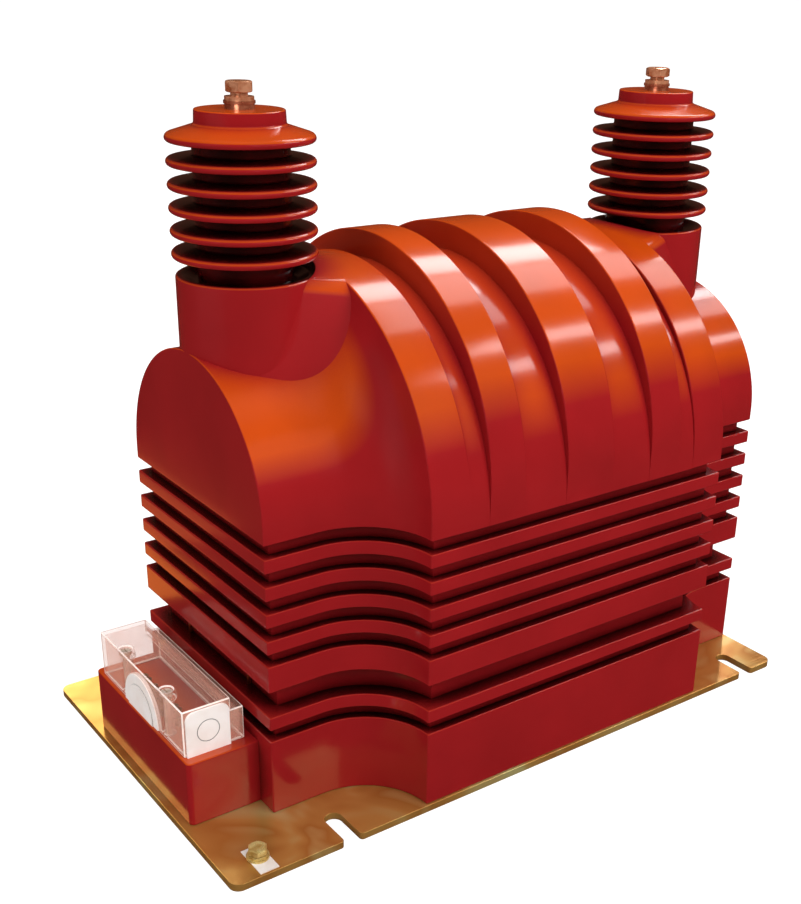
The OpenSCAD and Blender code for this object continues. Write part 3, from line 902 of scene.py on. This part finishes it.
    def end_arches(self) -> bmesh.types.BMesh:
        """Sweeps the half plan over the arch's axis: narrow ends, concave fillets and end bands.

        Returns:
            The closed mesh.
        """
        shape = bmesh.new()
        fillet = self.wide - self.narrow
        half_wide = self.wide_length / 2
        inner = half_wide - self.end_band
        low = self.arch_bottom
        centre = Vector((half_wide + fillet, self.wide, low))
        start = shape.verts.new((centre.x, self.narrow, low))
        turned = bmesh.ops.spin(
            shape, geom=[start], cent=centre, axis=(0, 0, 1), angle=-math.pi / 2, steps=self.fillet_steps,
            dvec=(0, 0, 0),
        )
        hidden = self.narrow + 30
        half = self.length / 2
        inwards = (verts_in(turned["geom_last"])[0], [(inner, self.wide), (inner, hidden), (0, hidden)])
        outwards = (start, [(half, self.narrow), (half, 0)])
        for last, points in (inwards, outwards):
            for x, y in points:
                corner = shape.verts.new((x, y, low))
                shape.edges.new((last, corner))
                last = corner
        everything = shape.verts[:] + shape.edges[:]
        bmesh.ops.mirror(shape, geom=everything, matrix=Matrix.Identity(4), merge_dist=0.001, axis="X")
        rise = self.arch_axis - low
        verts = verts_in(bmesh.ops.extrude_edge_only(shape, edges=shape.edges[:])["geom"])
        bmesh.ops.translate(shape, vec=(0, 0, rise), verts=verts)
        rim = verts + [e for e in shape.edges if all(v in verts for v in e.verts)]
        over = bmesh.ops.spin(
            shape, geom=rim, cent=(0, 0, self.arch_axis), axis=(1, 0, 0), angle=math.pi,
            steps=self.arch_steps, dvec=(0, 0, 0),
        )["geom_last"]
        rim = [g for g in over if isinstance(g, bmesh.types.BMEdge)]
        verts = verts_in(bmesh.ops.extrude_edge_only(shape, edges=rim)["geom"])
        bmesh.ops.translate(shape, vec=(0, 0, -rise), verts=verts)
        close_up(shape)
        soften(shape, self.edge)
        self.fade_edges(shape, (-inner, inner), self.wide, self.arch_axis)
        bmesh.ops.translate(shape, vec=(self.centre_x, 0, 0), verts=shape.verts)
        return shape

    def band(self, offset: float, width: float, rise: float, spare: float, edge: float) -> bmesh.types.BMesh:
        """Makes a band over the arch with rounded edges.

        Args:
            offset: its middle along X from the casting's centre.
            width: its width along X.
            rise: how far it is lifted above the end bands.
            spare: how far its sides stand back from the casting's widest face.
            edge: radius of its edges, or 0.

        Returns:
            The closed mesh.
        """
        shape = bmesh.new()
        radius = self.wide - spare
        axis = self.arch_axis + rise
        start = shape.verts.new((0, -radius, axis))
        turned = bmesh.ops.spin(
            shape, geom=[start], cent=(0, 0, axis), axis=(1, 0, 0), angle=-math.pi, steps=self.arch_steps,
            dvec=(0, 0, 0),
        )
        last = verts_in(turned["geom_last"])[0]
        feet = [shape.verts.new((0, y, self.arch_bottom)) for y in (-radius, radius)]
        shape.edges.new((start, feet[0]))
        shape.edges.new((last, feet[1]))
        shape.edges.new(feet)
        face = bmesh.ops.contextual_create(shape, geom=shape.edges[:])["faces"][0]
        draw_out(shape, face, (width, 0, 0))
        if edge:
            soften(shape, edge)
            self.fade_edges(shape, (0, width), radius, axis)
        place = (self.centre_x + offset - width / 2, 0, 0)
        bmesh.ops.translate(shape, vec=place, verts=shape.verts)
        return shape

    def fade_edges(self, shape: bmesh.types.BMesh, sides: Flat, radius: float, axis: float) -> None:
        """Thins out a band's rounded edges where the band runs flush into the casting's side.

        Args:
            shape: the mesh with its edges rounded.
            sides: places along X of the edges.
            radius: radius of the band.
            axis: height of its axis.
        """
        nearby = self.edge * 1.05
        least = 0.03
        for vert in shape.verts:
            side = min(sides, key=lambda place: abs(vert.co.x - place))
            across = vert.co.x - side
            rise = max(vert.co.z - axis, 0.0)
            reach = math.hypot(vert.co.y, rise)
            depth = radius - reach
            if abs(across) > nearby or depth > nearby or vert.co.z > self.fade_from:
                continue
            keep = max((vert.co.z - self.fade_to) / (self.fade_from - self.fade_to), least)
            vert.co.x = side + across * keep
            grow = (radius - depth * keep) / reach
            vert.co.y *= grow
            if rise:
                vert.co.z = axis + rise * grow

    def base_points(self) -> list[Point]:
        """Lists the turned corners of a bushing's base, from its foot up.

        Returns:
            Radius, height and the roundness of each corner.
        """
        core, top, lip = self.shed_core, self.base_top, self.base_lip
        return [
            (0, self.base_foot, 0), (self.base_radius, self.base_foot, 0), (self.base_radius, top, 2.0),
            (self.base_radius - lip, top, 1.0), (core + 3, top - lip, 1.5), (0, top - lip, 0),
        ]

    def shed_points(self) -> list[Point]:
        """Lists the turned corners of the sheds and the cap, from below up.

        Returns:
            Radius, height and the roundness of each corner.
        """
        rim = self.shed_rim
        core = self.shed_core
        foot = self.base_top - self.shed_foot
        points = [(0, foot, 0), (core, foot, 0)]
        for k in range(self.sheds):
            z = self.shed_z + k * self.shed_pitch
            points += [
                (core, z - rim - self.shed_under, self.shed_root),
                (self.shed_radius, z - rim, rim * 0.98), (self.shed_radius, z + rim, rim * 0.98),
            ]
            if k < self.sheds - 1:
                points.append((core, z + rim + self.shed_over, self.shed_root))
        cap = self.cap_radius
        top = self.cap_top
        points += [(cap + 0.5, top - self.cap_height, 1.5), (cap, top, 1.0), (0, top, 0)]
        return points

    def turned(self, points: list[Point]) -> bmesh.types.BMesh:
        """Turns a profile round the bushing's axis.

        Args:
            points: radius, height and roundness of each corner, from axis to axis.

        Returns:
            The closed mesh, at the low-voltage end.
        """
        shape = bmesh.new()
        verts = [shape.verts.new((r, 0, z)) for r, z, _ in points]
        for pair in zip(verts, verts[1:]):
            shape.edges.new(pair)
        for vert, (_, _, roundness) in zip(verts, points):
            if roundness:
                bmesh.ops.bevel(
                    shape, geom=[vert], offset=roundness, offset_type="OFFSET", segments=4, profile=0.5,
                    affect="VERTICES", clamp_overlap=False, material=-1,
                )
        bmesh.ops.spin(
            shape, geom=shape.verts[:] + shape.edges[:], cent=(0, 0, 0), axis=(0, 0, 1), angle=2 * math.pi,
            steps=self.turn_steps, dvec=(0, 0, 0), use_merge=True,
        )
        close_up(shape)
        bmesh.ops.translate(shape, vec=(-self.bushing_x, 0, 0), verts=shape.verts)
        return shape

    def bushing(self) -> bmesh.types.BMesh:
        """Makes one bushing: a drum that touches the casting's end face, and the sheds on it.

        Returns:
            The closed mesh, at the low-voltage end.
        """
        shape = self.turned(self.base_points())
        add_shape(shape, self.turned(self.shed_points()))
        for face in shape.faces:
            if face.calc_center_median().z > self.base_top - self.base_lip - 0.5:
                face.material_index = 1
        return shape

    def web_plan(self) -> bmesh.types.BMesh:
        """Makes the web's block: a plan that wraps round the bushing's base, drawn upwards.

        Returns:
            The closed mesh, at the low-voltage end, taller and wider than the web.
        """
        shape = bmesh.new()
        low, high = self.web_low, self.arch_axis + self.wide + self.lap
        half = self.web_wrap
        centre = Vector((-self.bushing_x, 0, low))
        radius = self.base_radius - self.lap
        start = shape.verts.new(centre + Vector((math.cos(half) * radius, -math.sin(half) * radius, 0)))
        turned = bmesh.ops.spin(
            shape, geom=[start], cent=centre, axis=(0, 0, 1), angle=2 * half, steps=self.web_wrap_steps,
            dvec=(0, 0, 0),
        )
        last = verts_in(turned["geom_last"])[0]
        far = self.web_sunk - self.wide_length / 2
        side = self.narrow - self.web_spare
        corners = [last]
        for x, y in ((start.co.x, side), (far, side), (far, -side), (start.co.x, -side)):
            corners.append(shape.verts.new((x, y, low)))
        corners.append(start)
        for pair in zip(corners, corners[1:]):
            shape.edges.new(pair)
        face = bmesh.ops.contextual_create(shape, geom=shape.edges[:])["faces"][0]
        draw_out(shape, face, (0, 0, high - low))
        return shape

    def web(self) -> bmesh.types.BMesh:
        """Makes the web that carries a bushing's base into the wide arch, flush with its end band.

        Returns:
            The closed mesh, at the low-voltage end.
        """
        shape = self.web_plan()
        radius = self.wide - self.flush_gap
        turn = math.radians(1.6)
        # Planes round the arch's axis give the block the arch's own top.
        for step in range(-self.web_top_steps, self.web_top_steps + 1):
            out = Vector((0, math.sin(turn * step), math.cos(turn * step)))
            trim(shape, out * radius + Vector((0, 0, self.arch_axis)), out)
        # Planes round each upper corner give it the flared side and the rounding above it.
        for side in (1, -1):
            mirrored = Vector((1, side, 1))
            for step in range(self.web_corner_steps):
                out, through = self.web_side(step / self.web_corner_steps)
                trim(shape, through * mirrored, out * mirrored)
        soften(shape, self.web_edge, angle=45)
        return shape

    def web_side(self, part: float = 0.0) -> tuple[Vector, Vector]:
        """Gives a plane that touches the web's +Y side or the rounded corner above it.

        Args:
            part: how far round the corner, from 0 at the side to 1 at the top.

        Returns:
            The plane's outward direction and the point where it touches.
        """
        flare, fall = math.radians(self.web_flare), math.radians(self.web_fall)
        across = Vector((-math.sin(flare), math.cos(flare), 0))
        above = Vector((math.sin(fall) * math.cos(flare), math.sin(fall) * math.sin(flare), math.cos(fall)))
        lean, crown = math.radians(self.web_lean), math.radians(self.web_crown)
        middle = (lean + crown) / 2
        to_centre = self.web_corner_radius / math.cos((crown - lean) / 2)
        centre = Vector(self.web_corner) - to_centre * (across * math.cos(middle) + above * math.sin(middle))
        angle = lean + (crown - lean) * part
        out = across * math.cos(angle) + above * math.sin(angle)
        return out, centre + out * self.web_corner_radius

    def web_fillets(self) -> bmesh.types.BMesh:
        """Makes the concave fillets between a bushing's base and the two sides of its web.

        Returns:
            The closed mesh, at the low-voltage end.
        """
        whole = bmesh.new()
        out, through = self.web_side()
        level_part = math.hypot(out.x, out.y)
        normal = Vector((out.x, out.y)) / level_part
        along = Vector((normal.y, -normal.x))
        middle = Vector((-self.bushing_x, 0))
        steps, sunk, least_step = self.web_fillet_steps, self.web_fillet_sunk, 0.3
        for side in (1, -1):
            shape = bmesh.new()
            rows = []
            level = self.web_fillet_top
            while level > self.web_low:
                # Distance from the bushing's axis to the web's side at this level.
                gap = (out.dot(through) - out.z * level) / level_part - normal.dot(middle)
                # Further down the web is as wide as the base, and there is no corner to fill.
                if gap > self.base_radius - least_step:
                    break
                grown = (self.web_fillet_top - level) * self.web_fillet_growth + self.web_fillet_least
                round_by = min(self.web_fillet_radius, grown)
                far = self.base_radius + round_by
                centre = normal * (gap + round_by) + along * math.sqrt(far * far - (gap + round_by) ** 2)
                first = -centre.normalized()
                turn = first.angle_signed(-normal)
                turns = [Matrix.Rotation(-turn * k / steps, 2) for k in range(steps + 1)]
                # The arc from the base to the web, then two points inside them that close the row.
                row = [centre + rotation @ first * round_by for rotation in turns]
                row += [centre - normal * (round_by + sunk), centre.normalized() * (self.base_radius - sunk)]
                rows.append([shape.verts.new((*(middle + q), level)) for q in row])
                level -= self.web_fillet_drop
            for upper, lower in zip(rows, rows[1:]):
                for k in range(len(upper)):
                    corners = [upper[k - 1], upper[k], lower[k], lower[k - 1]]
                    bmesh.ops.contextual_create(shape, geom=corners)
            for row in (rows[0], rows[-1]):
                bmesh.ops.contextual_create(shape, geom=row)
            bmesh.ops.recalc_face_normals(shape, faces=shape.faces)
            if side < 0:
                bmesh.ops.scale(shape, vec=(1, -1, 1), verts=shape.verts)
                bmesh.ops.reverse_faces(shape, faces=shape.faces)
            add_shape(whole, shape)
        return whole

    def pedestal_block(self) -> bmesh.types.BMesh:
        """Makes the block under the low-voltage terminals.

        Returns:
            The closed mesh.
        """
        shape = bmesh.new()
        bmesh.ops.create_cube(shape, size=1.0)
        tall = self.pedestal_top - self.plate_top
        bmesh.ops.scale(shape, vec=(self.pedestal + self.lap, self.pedestal_width, tall), verts=shape.verts)
        x = self.centre_x - self.length / 2 - (self.pedestal - self.lap) / 2
        bmesh.ops.translate(shape, vec=(x, 0, self.plate_top + tall / 2), verts=shape.verts)
        uprights = [
            e for e in shape.edges
            if abs(e.verts[0].co.z - e.verts[1].co.z) > 1 and e.verts[0].co.x < x
        ]
        bmesh.ops.bevel(
            shape, geom=uprights, offset=self.pedestal_corner, offset_type="OFFSET", segments=8, profile=0.5,
            affect="EDGES", clamp_overlap=False, material=-1,
        )
        soften(shape, self.edge)
        return shape

    def build(self) -> bpy.types.Object:
        """Joins the casting's shapes in one piece that stands for its node.

        Returns:
            The piece.
        """
        whole = bmesh.new()
        lap = self.lap
        parts = [
            self.slab(self.plate_top, self.foot_top, 0, self.edge),
            self.slab(self.plate_top + lap, self.arch_bottom + lap, self.wide_groove, 0),
            self.slab(self.plate_top + 2 * lap, self.low_rib + self.rib / 2, self.groove, 0),
            self.slab(self.thick_rib + self.thick_rib_height / 2, self.arch_bottom + 2 * lap, self.groove, 0),
            self.slab(self.low_rib, self.low_rib + self.rib, 0, self.edge),
            self.slab(self.thick_rib, self.thick_rib + self.thick_rib_height, 0, self.edge),
        ]
        for k in range(1, self.thin_ribs + 1):
            level = self.arch_bottom - k * self.rib_pitch
            parts.append(self.slab(level, level + self.rib, 0, self.edge))
        between = self.wide_length - 2 * self.end_band
        flush = self.flush_gap
        parts += [self.end_arches(), self.band(0, between + 2 * lap, -self.ring_fall, 2 * flush, self.edge)]
        widths = (self.side_ring, self.middle_ring, self.side_ring)
        for k, width in zip((-1, 0, 1), widths):
            parts.append(self.band(k * self.ring_pitch, width, self.ring_rise, -flush, self.edge))
        for end in (1, -1):
            for part in (self.bushing(), self.web(), self.web_fillets()):
                if end < 0:
                    bmesh.ops.scale(part, vec=(-1, 1, 1), verts=part.verts)
                    bmesh.ops.reverse_faces(part, faces=part.faces)
                bmesh.ops.translate(part, vec=(self.centre_x, 0, 0), verts=part.verts)
                parts.append(part)
        parts.append(self.pedestal_block())
        for part in parts:
            add_shape(whole, part)
        piece = make_piece("casting", whole, RESIN)
        piece.data.materials.append(GROOVE_SHADE_RESIN.material())
        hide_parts("resin_body")
        return piece


@dataclass(frozen=True)
class EasedCopy:
    """A CAD node's own shape with its edges eased, in place of the node."""

    node: str
    slot: str
    finish: Finish
    radius: float = 0.5
    angle: float = 50.0
    weld: float = 0.003
    flat_angle: float = math.radians(1.0)
    others: tuple[Finish, ...] = ()

    def build(self) -> bpy.types.Object:
        """Merges a copy of the node's mesh and rounds its edges.

        Returns:
            The piece.
        """
        shape = bmesh.new()
        shape.from_mesh(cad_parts[self.node].data)
        bmesh.ops.scale(shape, vec=(PER_METRE,) * 3, verts=shape.verts)
        bmesh.ops.remove_doubles(shape, verts=shape.verts, dist=self.weld)
        bmesh.ops.dissolve_limit(
            shape, angle_limit=self.flat_angle, verts=shape.verts, edges=shape.edges,
            use_dissolve_boundaries=False,
        )
        self.sort_faces(shape, soften(shape, self.radius, 2, self.angle))
        piece = make_piece(self.node + "_eased", shape, self.finish)
        for finish in self.others:
            piece.data.materials.append(finish.material())
        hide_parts(self.node)
        return piece

    def sort_faces(self, shape: bmesh.types.BMesh, rims: list[bmesh.types.BMFace]) -> None:
        """Gives faces the number of their finish; here they all keep the first.

        Args:
            shape: the mesh with its edges eased.
            rims: the faces of the roundings.
        """


@dataclass(frozen=True)
class ClearCover(EasedCopy):
    """The terminal cover: a clear top, milky walls and pillars, and rims with a painted highlight."""

    others: tuple[Finish, ...] = (MILKY, RIM_HIGHLIGHT)
    top_from: float = 0.7

    def sort_faces(self, shape: bmesh.types.BMesh, rims: list[bmesh.types.BMFace]) -> None:
        """Gives the walls and the rims their own finishes.

        Args:
            shape: the mesh with its edges eased.
            rims: the faces of the roundings.
        """
        shape.normal_update()
        for face in shape.faces:
            if abs(face.normal.z) < self.top_from:
                face.material_index = 1
        for face in rims:
            face.material_index = 2


@dataclass(frozen=True)
class PhotoCamera:
    """The photograph's viewpoint, as fitted to the object's edges."""

    place: Point = (-592.256, -807.677, 594.521)
    azimuth: float = -37.261
    elevation: float = 23.656
    roll: float = 1.545
    focal: float = 1264.937
    centre: Flat = (451.017, 522.79)
    frame_size: Flat = (801.0, 904.0)
    sensor: float = 36.0
    clip: Flat = (0.05, 100.0)

    def build(self) -> bpy.types.Object:
        """Makes the scene's camera.

        Returns:
            The camera object.
        """
        a, e, r = (math.radians(v) for v in (self.azimuth, self.elevation, self.roll))
        back = Vector((math.sin(a) * math.cos(e), -math.cos(a) * math.cos(e), math.sin(e)))
        level = Vector((math.cos(a), math.sin(a), 0))
        above = back.cross(level)
        right = level * math.cos(r) + above * math.sin(r)
        up = above * math.cos(r) - level * math.sin(r)
        data = bpy.data.cameras.new("photo_camera")
        long_side = max(self.frame_size)
        data.sensor_width = self.sensor
        data.lens = self.focal * self.sensor / long_side
        data.shift_x = -(self.centre[0] - self.frame_size[0] / 2) / long_side
        data.shift_y = (self.centre[1] - self.frame_size[1] / 2) / long_side
        data.clip_start, data.clip_end = self.clip
        camera = bpy.data.objects.new("photo_camera", data)
        turn = Matrix((right, up, back)).transposed().to_4x4()
        camera.matrix_world = Matrix.Translation(Vector(self.place) * MM) @ turn
        bpy.context.scene.collection.objects.link(camera)
        bpy.context.scene.camera = camera
        return camera


class Sees(Enum):
    """What a lamp adds to."""

    ALL = "all"
    GLOSS = "gloss"
    COLOUR = "colour"


@dataclass(frozen=True)
class Panel:
    """One rectangular softbox."""

    name: str
    place: Point
    size: Flat
    radiance: float
    sees: Sees = Sees.ALL
    colour: str = "ffffff"
    aim: Point = (0.0, 0.0, 0.25)
    only: tuple[str, ...] = ()

    def build(self) -> bpy.types.Object:
        """Makes the lamp, turned towards its aim.

        Returns:
            The lamp object.
        """
        data = bpy.data.lights.new(self.name, "AREA")
        data.shape = "RECTANGLE"
        data.size, data.size_y = self.size
        data.energy = self.radiance * self.size[0] * self.size[1] * math.pi
        data.color = linear(self.colour)[:3]
        lamp = bpy.data.objects.new(self.name, data)
        lamp.location = self.place
        way = Vector(self.aim) - Vector(self.place)
        lamp.rotation_mode = "QUATERNION"
        lamp.rotation_quaternion = way.to_track_quat("-Z", "Y")
        lamp.visible_camera = False
        lamp.visible_diffuse = self.sees is not Sees.GLOSS
        lamp.visible_glossy = self.sees is not Sees.COLOUR
        lamp.visible_transmission = False
        bpy.context.scene.collection.objects.link(lamp)
        if self.only:
            lit = bpy.data.collections.new(self.name + "_lights")
            for name in self.only:
                lit.objects.link(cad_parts.get(name) or bpy.data.objects[name])
            lamp.light_linking.receiver_collection = lit
        return lamp


@dataclass(frozen=True)
class Studio:
    """Pale floor, white surroundings, a dim tent that only reflections show, and the softboxes, in metres."""

    ambient: float = 0.20
    white: Colour = (1.0, 1.0, 1.0, 1.0)
    floor_size: float = 60.0
    floor_level: float = -0.0003
    paper: Colour = (0.36, 0.35, 0.34, 1.0)
    paper_glow: Flat = (0.88, 1.0)
    paper_reach: Flat = (0.6, 3.0)
    curtain_radius: float = 4.5
    curtain_level: float = -0.0001
    curtain_height: float = 3.4
    curtain_sides: int = 48
    curtain_colour: str = "4a2c22"
    strip_height: float = 1.9

    def world(self) -> None:
        """Makes surroundings that look white and light the object plainly."""
        world = bpy.data.worlds.new("studio")
        bpy.context.scene.world = world
        world.use_nodes = True
        tree = world.node_tree
        tree.nodes.clear()
        seen = self.seen_rays(tree)
        plain = add_node(tree, "ShaderNodeBackground", {"Color": self.white, "Strength": self.ambient})
        white = add_node(tree, "ShaderNodeBackground", {"Color": self.white, "Strength": 1.0})
        both = add_node(tree, "ShaderNodeMixShader", {0: seen, 1: plain.outputs[0], 2: white.outputs[0]})
        add_node(tree, "ShaderNodeOutputWorld", {"Surface": both.outputs[0]})

    def seen_rays(self, tree: bpy.types.NodeTree) -> bpy.types.NodeSocket:
        """Tells the rays by which the background is seen from those that carry light.

        Args:
            tree: node tree that takes the nodes.

        Returns:
            A socket that is 1 for camera, glossy and transmitted rays.
        """
        path = add_node(tree, "ShaderNodeLightPath", {}).outputs
        straight = add_node(
            tree, "ShaderNodeMath", {0: path["Is Camera Ray"], 1: path["Is Glossy Ray"]}, operation="MAXIMUM"
        )
        return add_node(
            tree, "ShaderNodeMath", {0: straight.outputs[0], 1: path["Is Transmission Ray"]},
            operation="MAXIMUM",
        ).outputs[0]

    def floor(self) -> bpy.types.Object:
        """Makes the pale floor, which shows the object's soft shadow.

        Returns:
            The floor object.
        """
        shape = bmesh.new()
        bmesh.ops.create_grid(shape, x_segments=1, y_segments=1, size=self.floor_size / 2)
        mesh = bpy.data.meshes.new("floor")
        shape.to_mesh(mesh)
        shape.free()
        floor = bpy.data.objects.new("floor", mesh)
        floor.location.z = self.floor_level
        bpy.context.scene.collection.objects.link(floor)
        paper = bpy.data.materials.new("white_paper_floor")
        paper.use_nodes = True
        tree = paper.node_tree
        tree.nodes.clear()
        matt = add_node(tree, "ShaderNodeBsdfDiffuse", {"Color": self.paper})
        place = add_node(tree, "ShaderNodeTexCoord", {})
        away = add_node(tree, "ShaderNodeVectorMath", {0: place.outputs["Object"]}, operation="LENGTH")
        strength = add_node(
            tree, "ShaderNodeMapRange",
            {
                "Value": away.outputs["Value"], "From Min": self.paper_reach[0],
                "From Max": self.paper_reach[1], "To Min": self.paper_glow[0], "To Max": self.paper_glow[1],
            },
        )
        glow = add_node(
            tree, "ShaderNodeEmission", {"Color": self.white, "Strength": strength.outputs["Result"]}
        )
        lit = add_node(tree, "ShaderNodeAddShader", {0: matt.outputs[0], 1: glow.outputs[0]})
        both = add_node(
            tree, "ShaderNodeMixShader", {0: self.seen_rays(tree), 1: matt.outputs[0], 2: lit.outputs[0]}
        )
        add_node(tree, "ShaderNodeOutputMaterial", {"Surface": both.outputs[0]})
        mesh.materials.append(paper)
        return floor

    def curtain(self) -> bpy.types.Object:
        """Makes the dim tent round the set, which keeps the resin's gloss deep.

        Returns:
            The curtain, which only reflections show.
        """
        shape = bmesh.new()
        bmesh.ops.create_circle(
            shape, cap_ends=True, segments=self.curtain_sides, radius=self.curtain_radius
        )
        rim = [e for e in shape.edges if e.is_boundary]
        top = verts_in(bmesh.ops.extrude_edge_only(shape, edges=rim)["geom"])
        bmesh.ops.translate(shape, vec=(0, 0, self.curtain_height), verts=top)
        bmesh.ops.holes_fill(shape, edges=[e for e in shape.edges if e.is_boundary], sides=0)
        mesh = bpy.data.meshes.new("curtain")
        shape.to_mesh(mesh)
        shape.free()
        curtain = bpy.data.objects.new("curtain", mesh)
        curtain.location.z = self.curtain_level
        bpy.context.scene.collection.objects.link(curtain)
        felt = bpy.data.materials.new("dim_felt_curtain")
        felt.use_nodes = True
        tree = felt.node_tree
        tree.nodes.clear()
        dim = add_node(tree, "ShaderNodeEmission", {"Color": linear(self.curtain_colour), "Strength": 1.0})
        add_node(tree, "ShaderNodeOutputMaterial", {"Surface": dim.outputs[0]})
        mesh.materials.append(felt)
        curtain.visible_camera = False
        curtain.visible_diffuse = False
        curtain.visible_transmission = False
        curtain.visible_shadow = False
        return curtain

    def fills(self) -> tuple[Panel, ...]:
        """Lists the lamps that light the colours from above, the front, both ends and the back.

        Returns:
            The lamps.
        """
        return (
            Panel("overhead", (0.2, 0.1, 2.3), (2.4, 2.4), 1.85, Sees.COLOUR),
            Panel("front_fill", (0.4, -2.2, 1.5), (2.4, 1.4), 4.5, Sees.COLOUR),
            Panel("end_fill", (-1.6, 0.1, 0.3), (1.4, 0.5), 2.6, Sees.COLOUR),
            Panel("left_fill", (-2.0, -0.6, 1.5), (1.0, 1.0), 2.4, Sees.COLOUR),
            Panel("back_fill", (0.4, 2.2, 1.5), (2.4, 1.4), 2.0, Sees.COLOUR),
            Panel("far_end_fill", (1.9, 0.2, 0.8), (1.2, 1.0), 2.0, Sees.COLOUR),
        )

    def strips(self) -> tuple[Panel, ...]:
        """Lists the strips that the arches mirror as their long highlights; all look straight down.

        Returns:
            The lamps.
        """
        strips = (
            ("bright_strip", (1.45, 0.66), (0.75, 0.50), 9.0),
            ("bright_tail", (1.55, 0.66), (1.50, 0.50), 8.5),
            ("soft_strip", (2.02, 0.04), (2.35, 0.60), 3.2),
            ("thin_strip", (2.40, -1.20), (2.20, 0.30), 8.0),
        )
        return tuple(
            Panel(name, (x, y, self.strip_height), size, radiance, Sees.GLOSS, aim=(x, y, 0))
            for name, (x, y), size, radiance in strips
        )

    def accents(self) -> tuple[Panel, ...]:
        """Lists the lamps that reach only some pieces: plate, metals, the casting's side and the cover.

        Returns:
            The lamps.
        """
        gloss = Sees.GLOSS
        body = ("casting",)
        low, high, card = (-0.31, 0.435), (-0.395, 0.55), (-0.4, -1.1)
        return (
            Panel("plate_glare", (1.3, -2.1, 1.1), (2.6, 1.8), 2.1, gloss, only=PLATE),
            Panel("plate_sky_left", (0.0, 2.6, 1.5), (4.0, 3.0), 3.0, gloss, "fff6c4", (0.0, 0, 1.5), PLATE),
            Panel("plate_sky_right", (4.0, 2.6, 1.5), (4.0, 3.0), 3.2, gloss, "ffe8e0", (4.0, 0, 1.5), PLATE),
            Panel("floor_card", (*card, 0.01), (2.4, 1.8), 2.6, gloss, aim=(*card, 1.0), only=METALS),
            Panel("left_card", (-2.2, -1.6, 1.2), (1.2, 1.2), 5.0, gloss, only=METALS),
            Panel("side_glow_low", (*low, 0.004), (0.08, 0.33), 1.8, gloss, "ff9038", (*low, 1.0), body),
            Panel("side_glow_high", (*high, 0.004), (0.09, 0.34), 1.0, gloss, "ff8446", (*high, 1.0), body),
            Panel("cover_top", (-0.9, 0.5, 1.5), (0.8, 0.8), 3.0, only=COVER),
            Panel("cover_light", (-1.2, -1.5, 1.2), (1.2, 1.2), 2.6, only=COVER),
        )

    def build(self) -> None:
        """Makes the surroundings, floor and lamps."""
        bpy.context.scene.view_settings.view_transform = "Standard"
        self.world()
        self.floor()
        self.curtain()
        for lamp in self.fills() + self.strips() + self.accents():
            lamp.build()


def dress_nodes() -> None:
    """Gives every CAD node the material of its finish."""
    for node, finish in NODE_FINISHES.items():
        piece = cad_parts[node]
        if not piece.data.materials:
            piece.data.materials.append(finish.material())
        for slot in piece.material_slots:
            slot.material = finish.material()
        log.info("%s: %s", node, finish.name)


def main() -> None:
    """Builds the camera, studio and pieces in order."""
    logging.basicConfig(level=logging.INFO, format="%(name)s: %(message)s")
    PhotoCamera().build()
    dress_nodes()
    ResinCasting().build()
    ClearCover("terminal_cover", "clear_cover", CLEAR, 0.95).build()
    EasedCopy("base_plate", "passivated_steel", SHEET, 0.4).build()
    Studio().build()


if __name__ == "__main__":
    main()
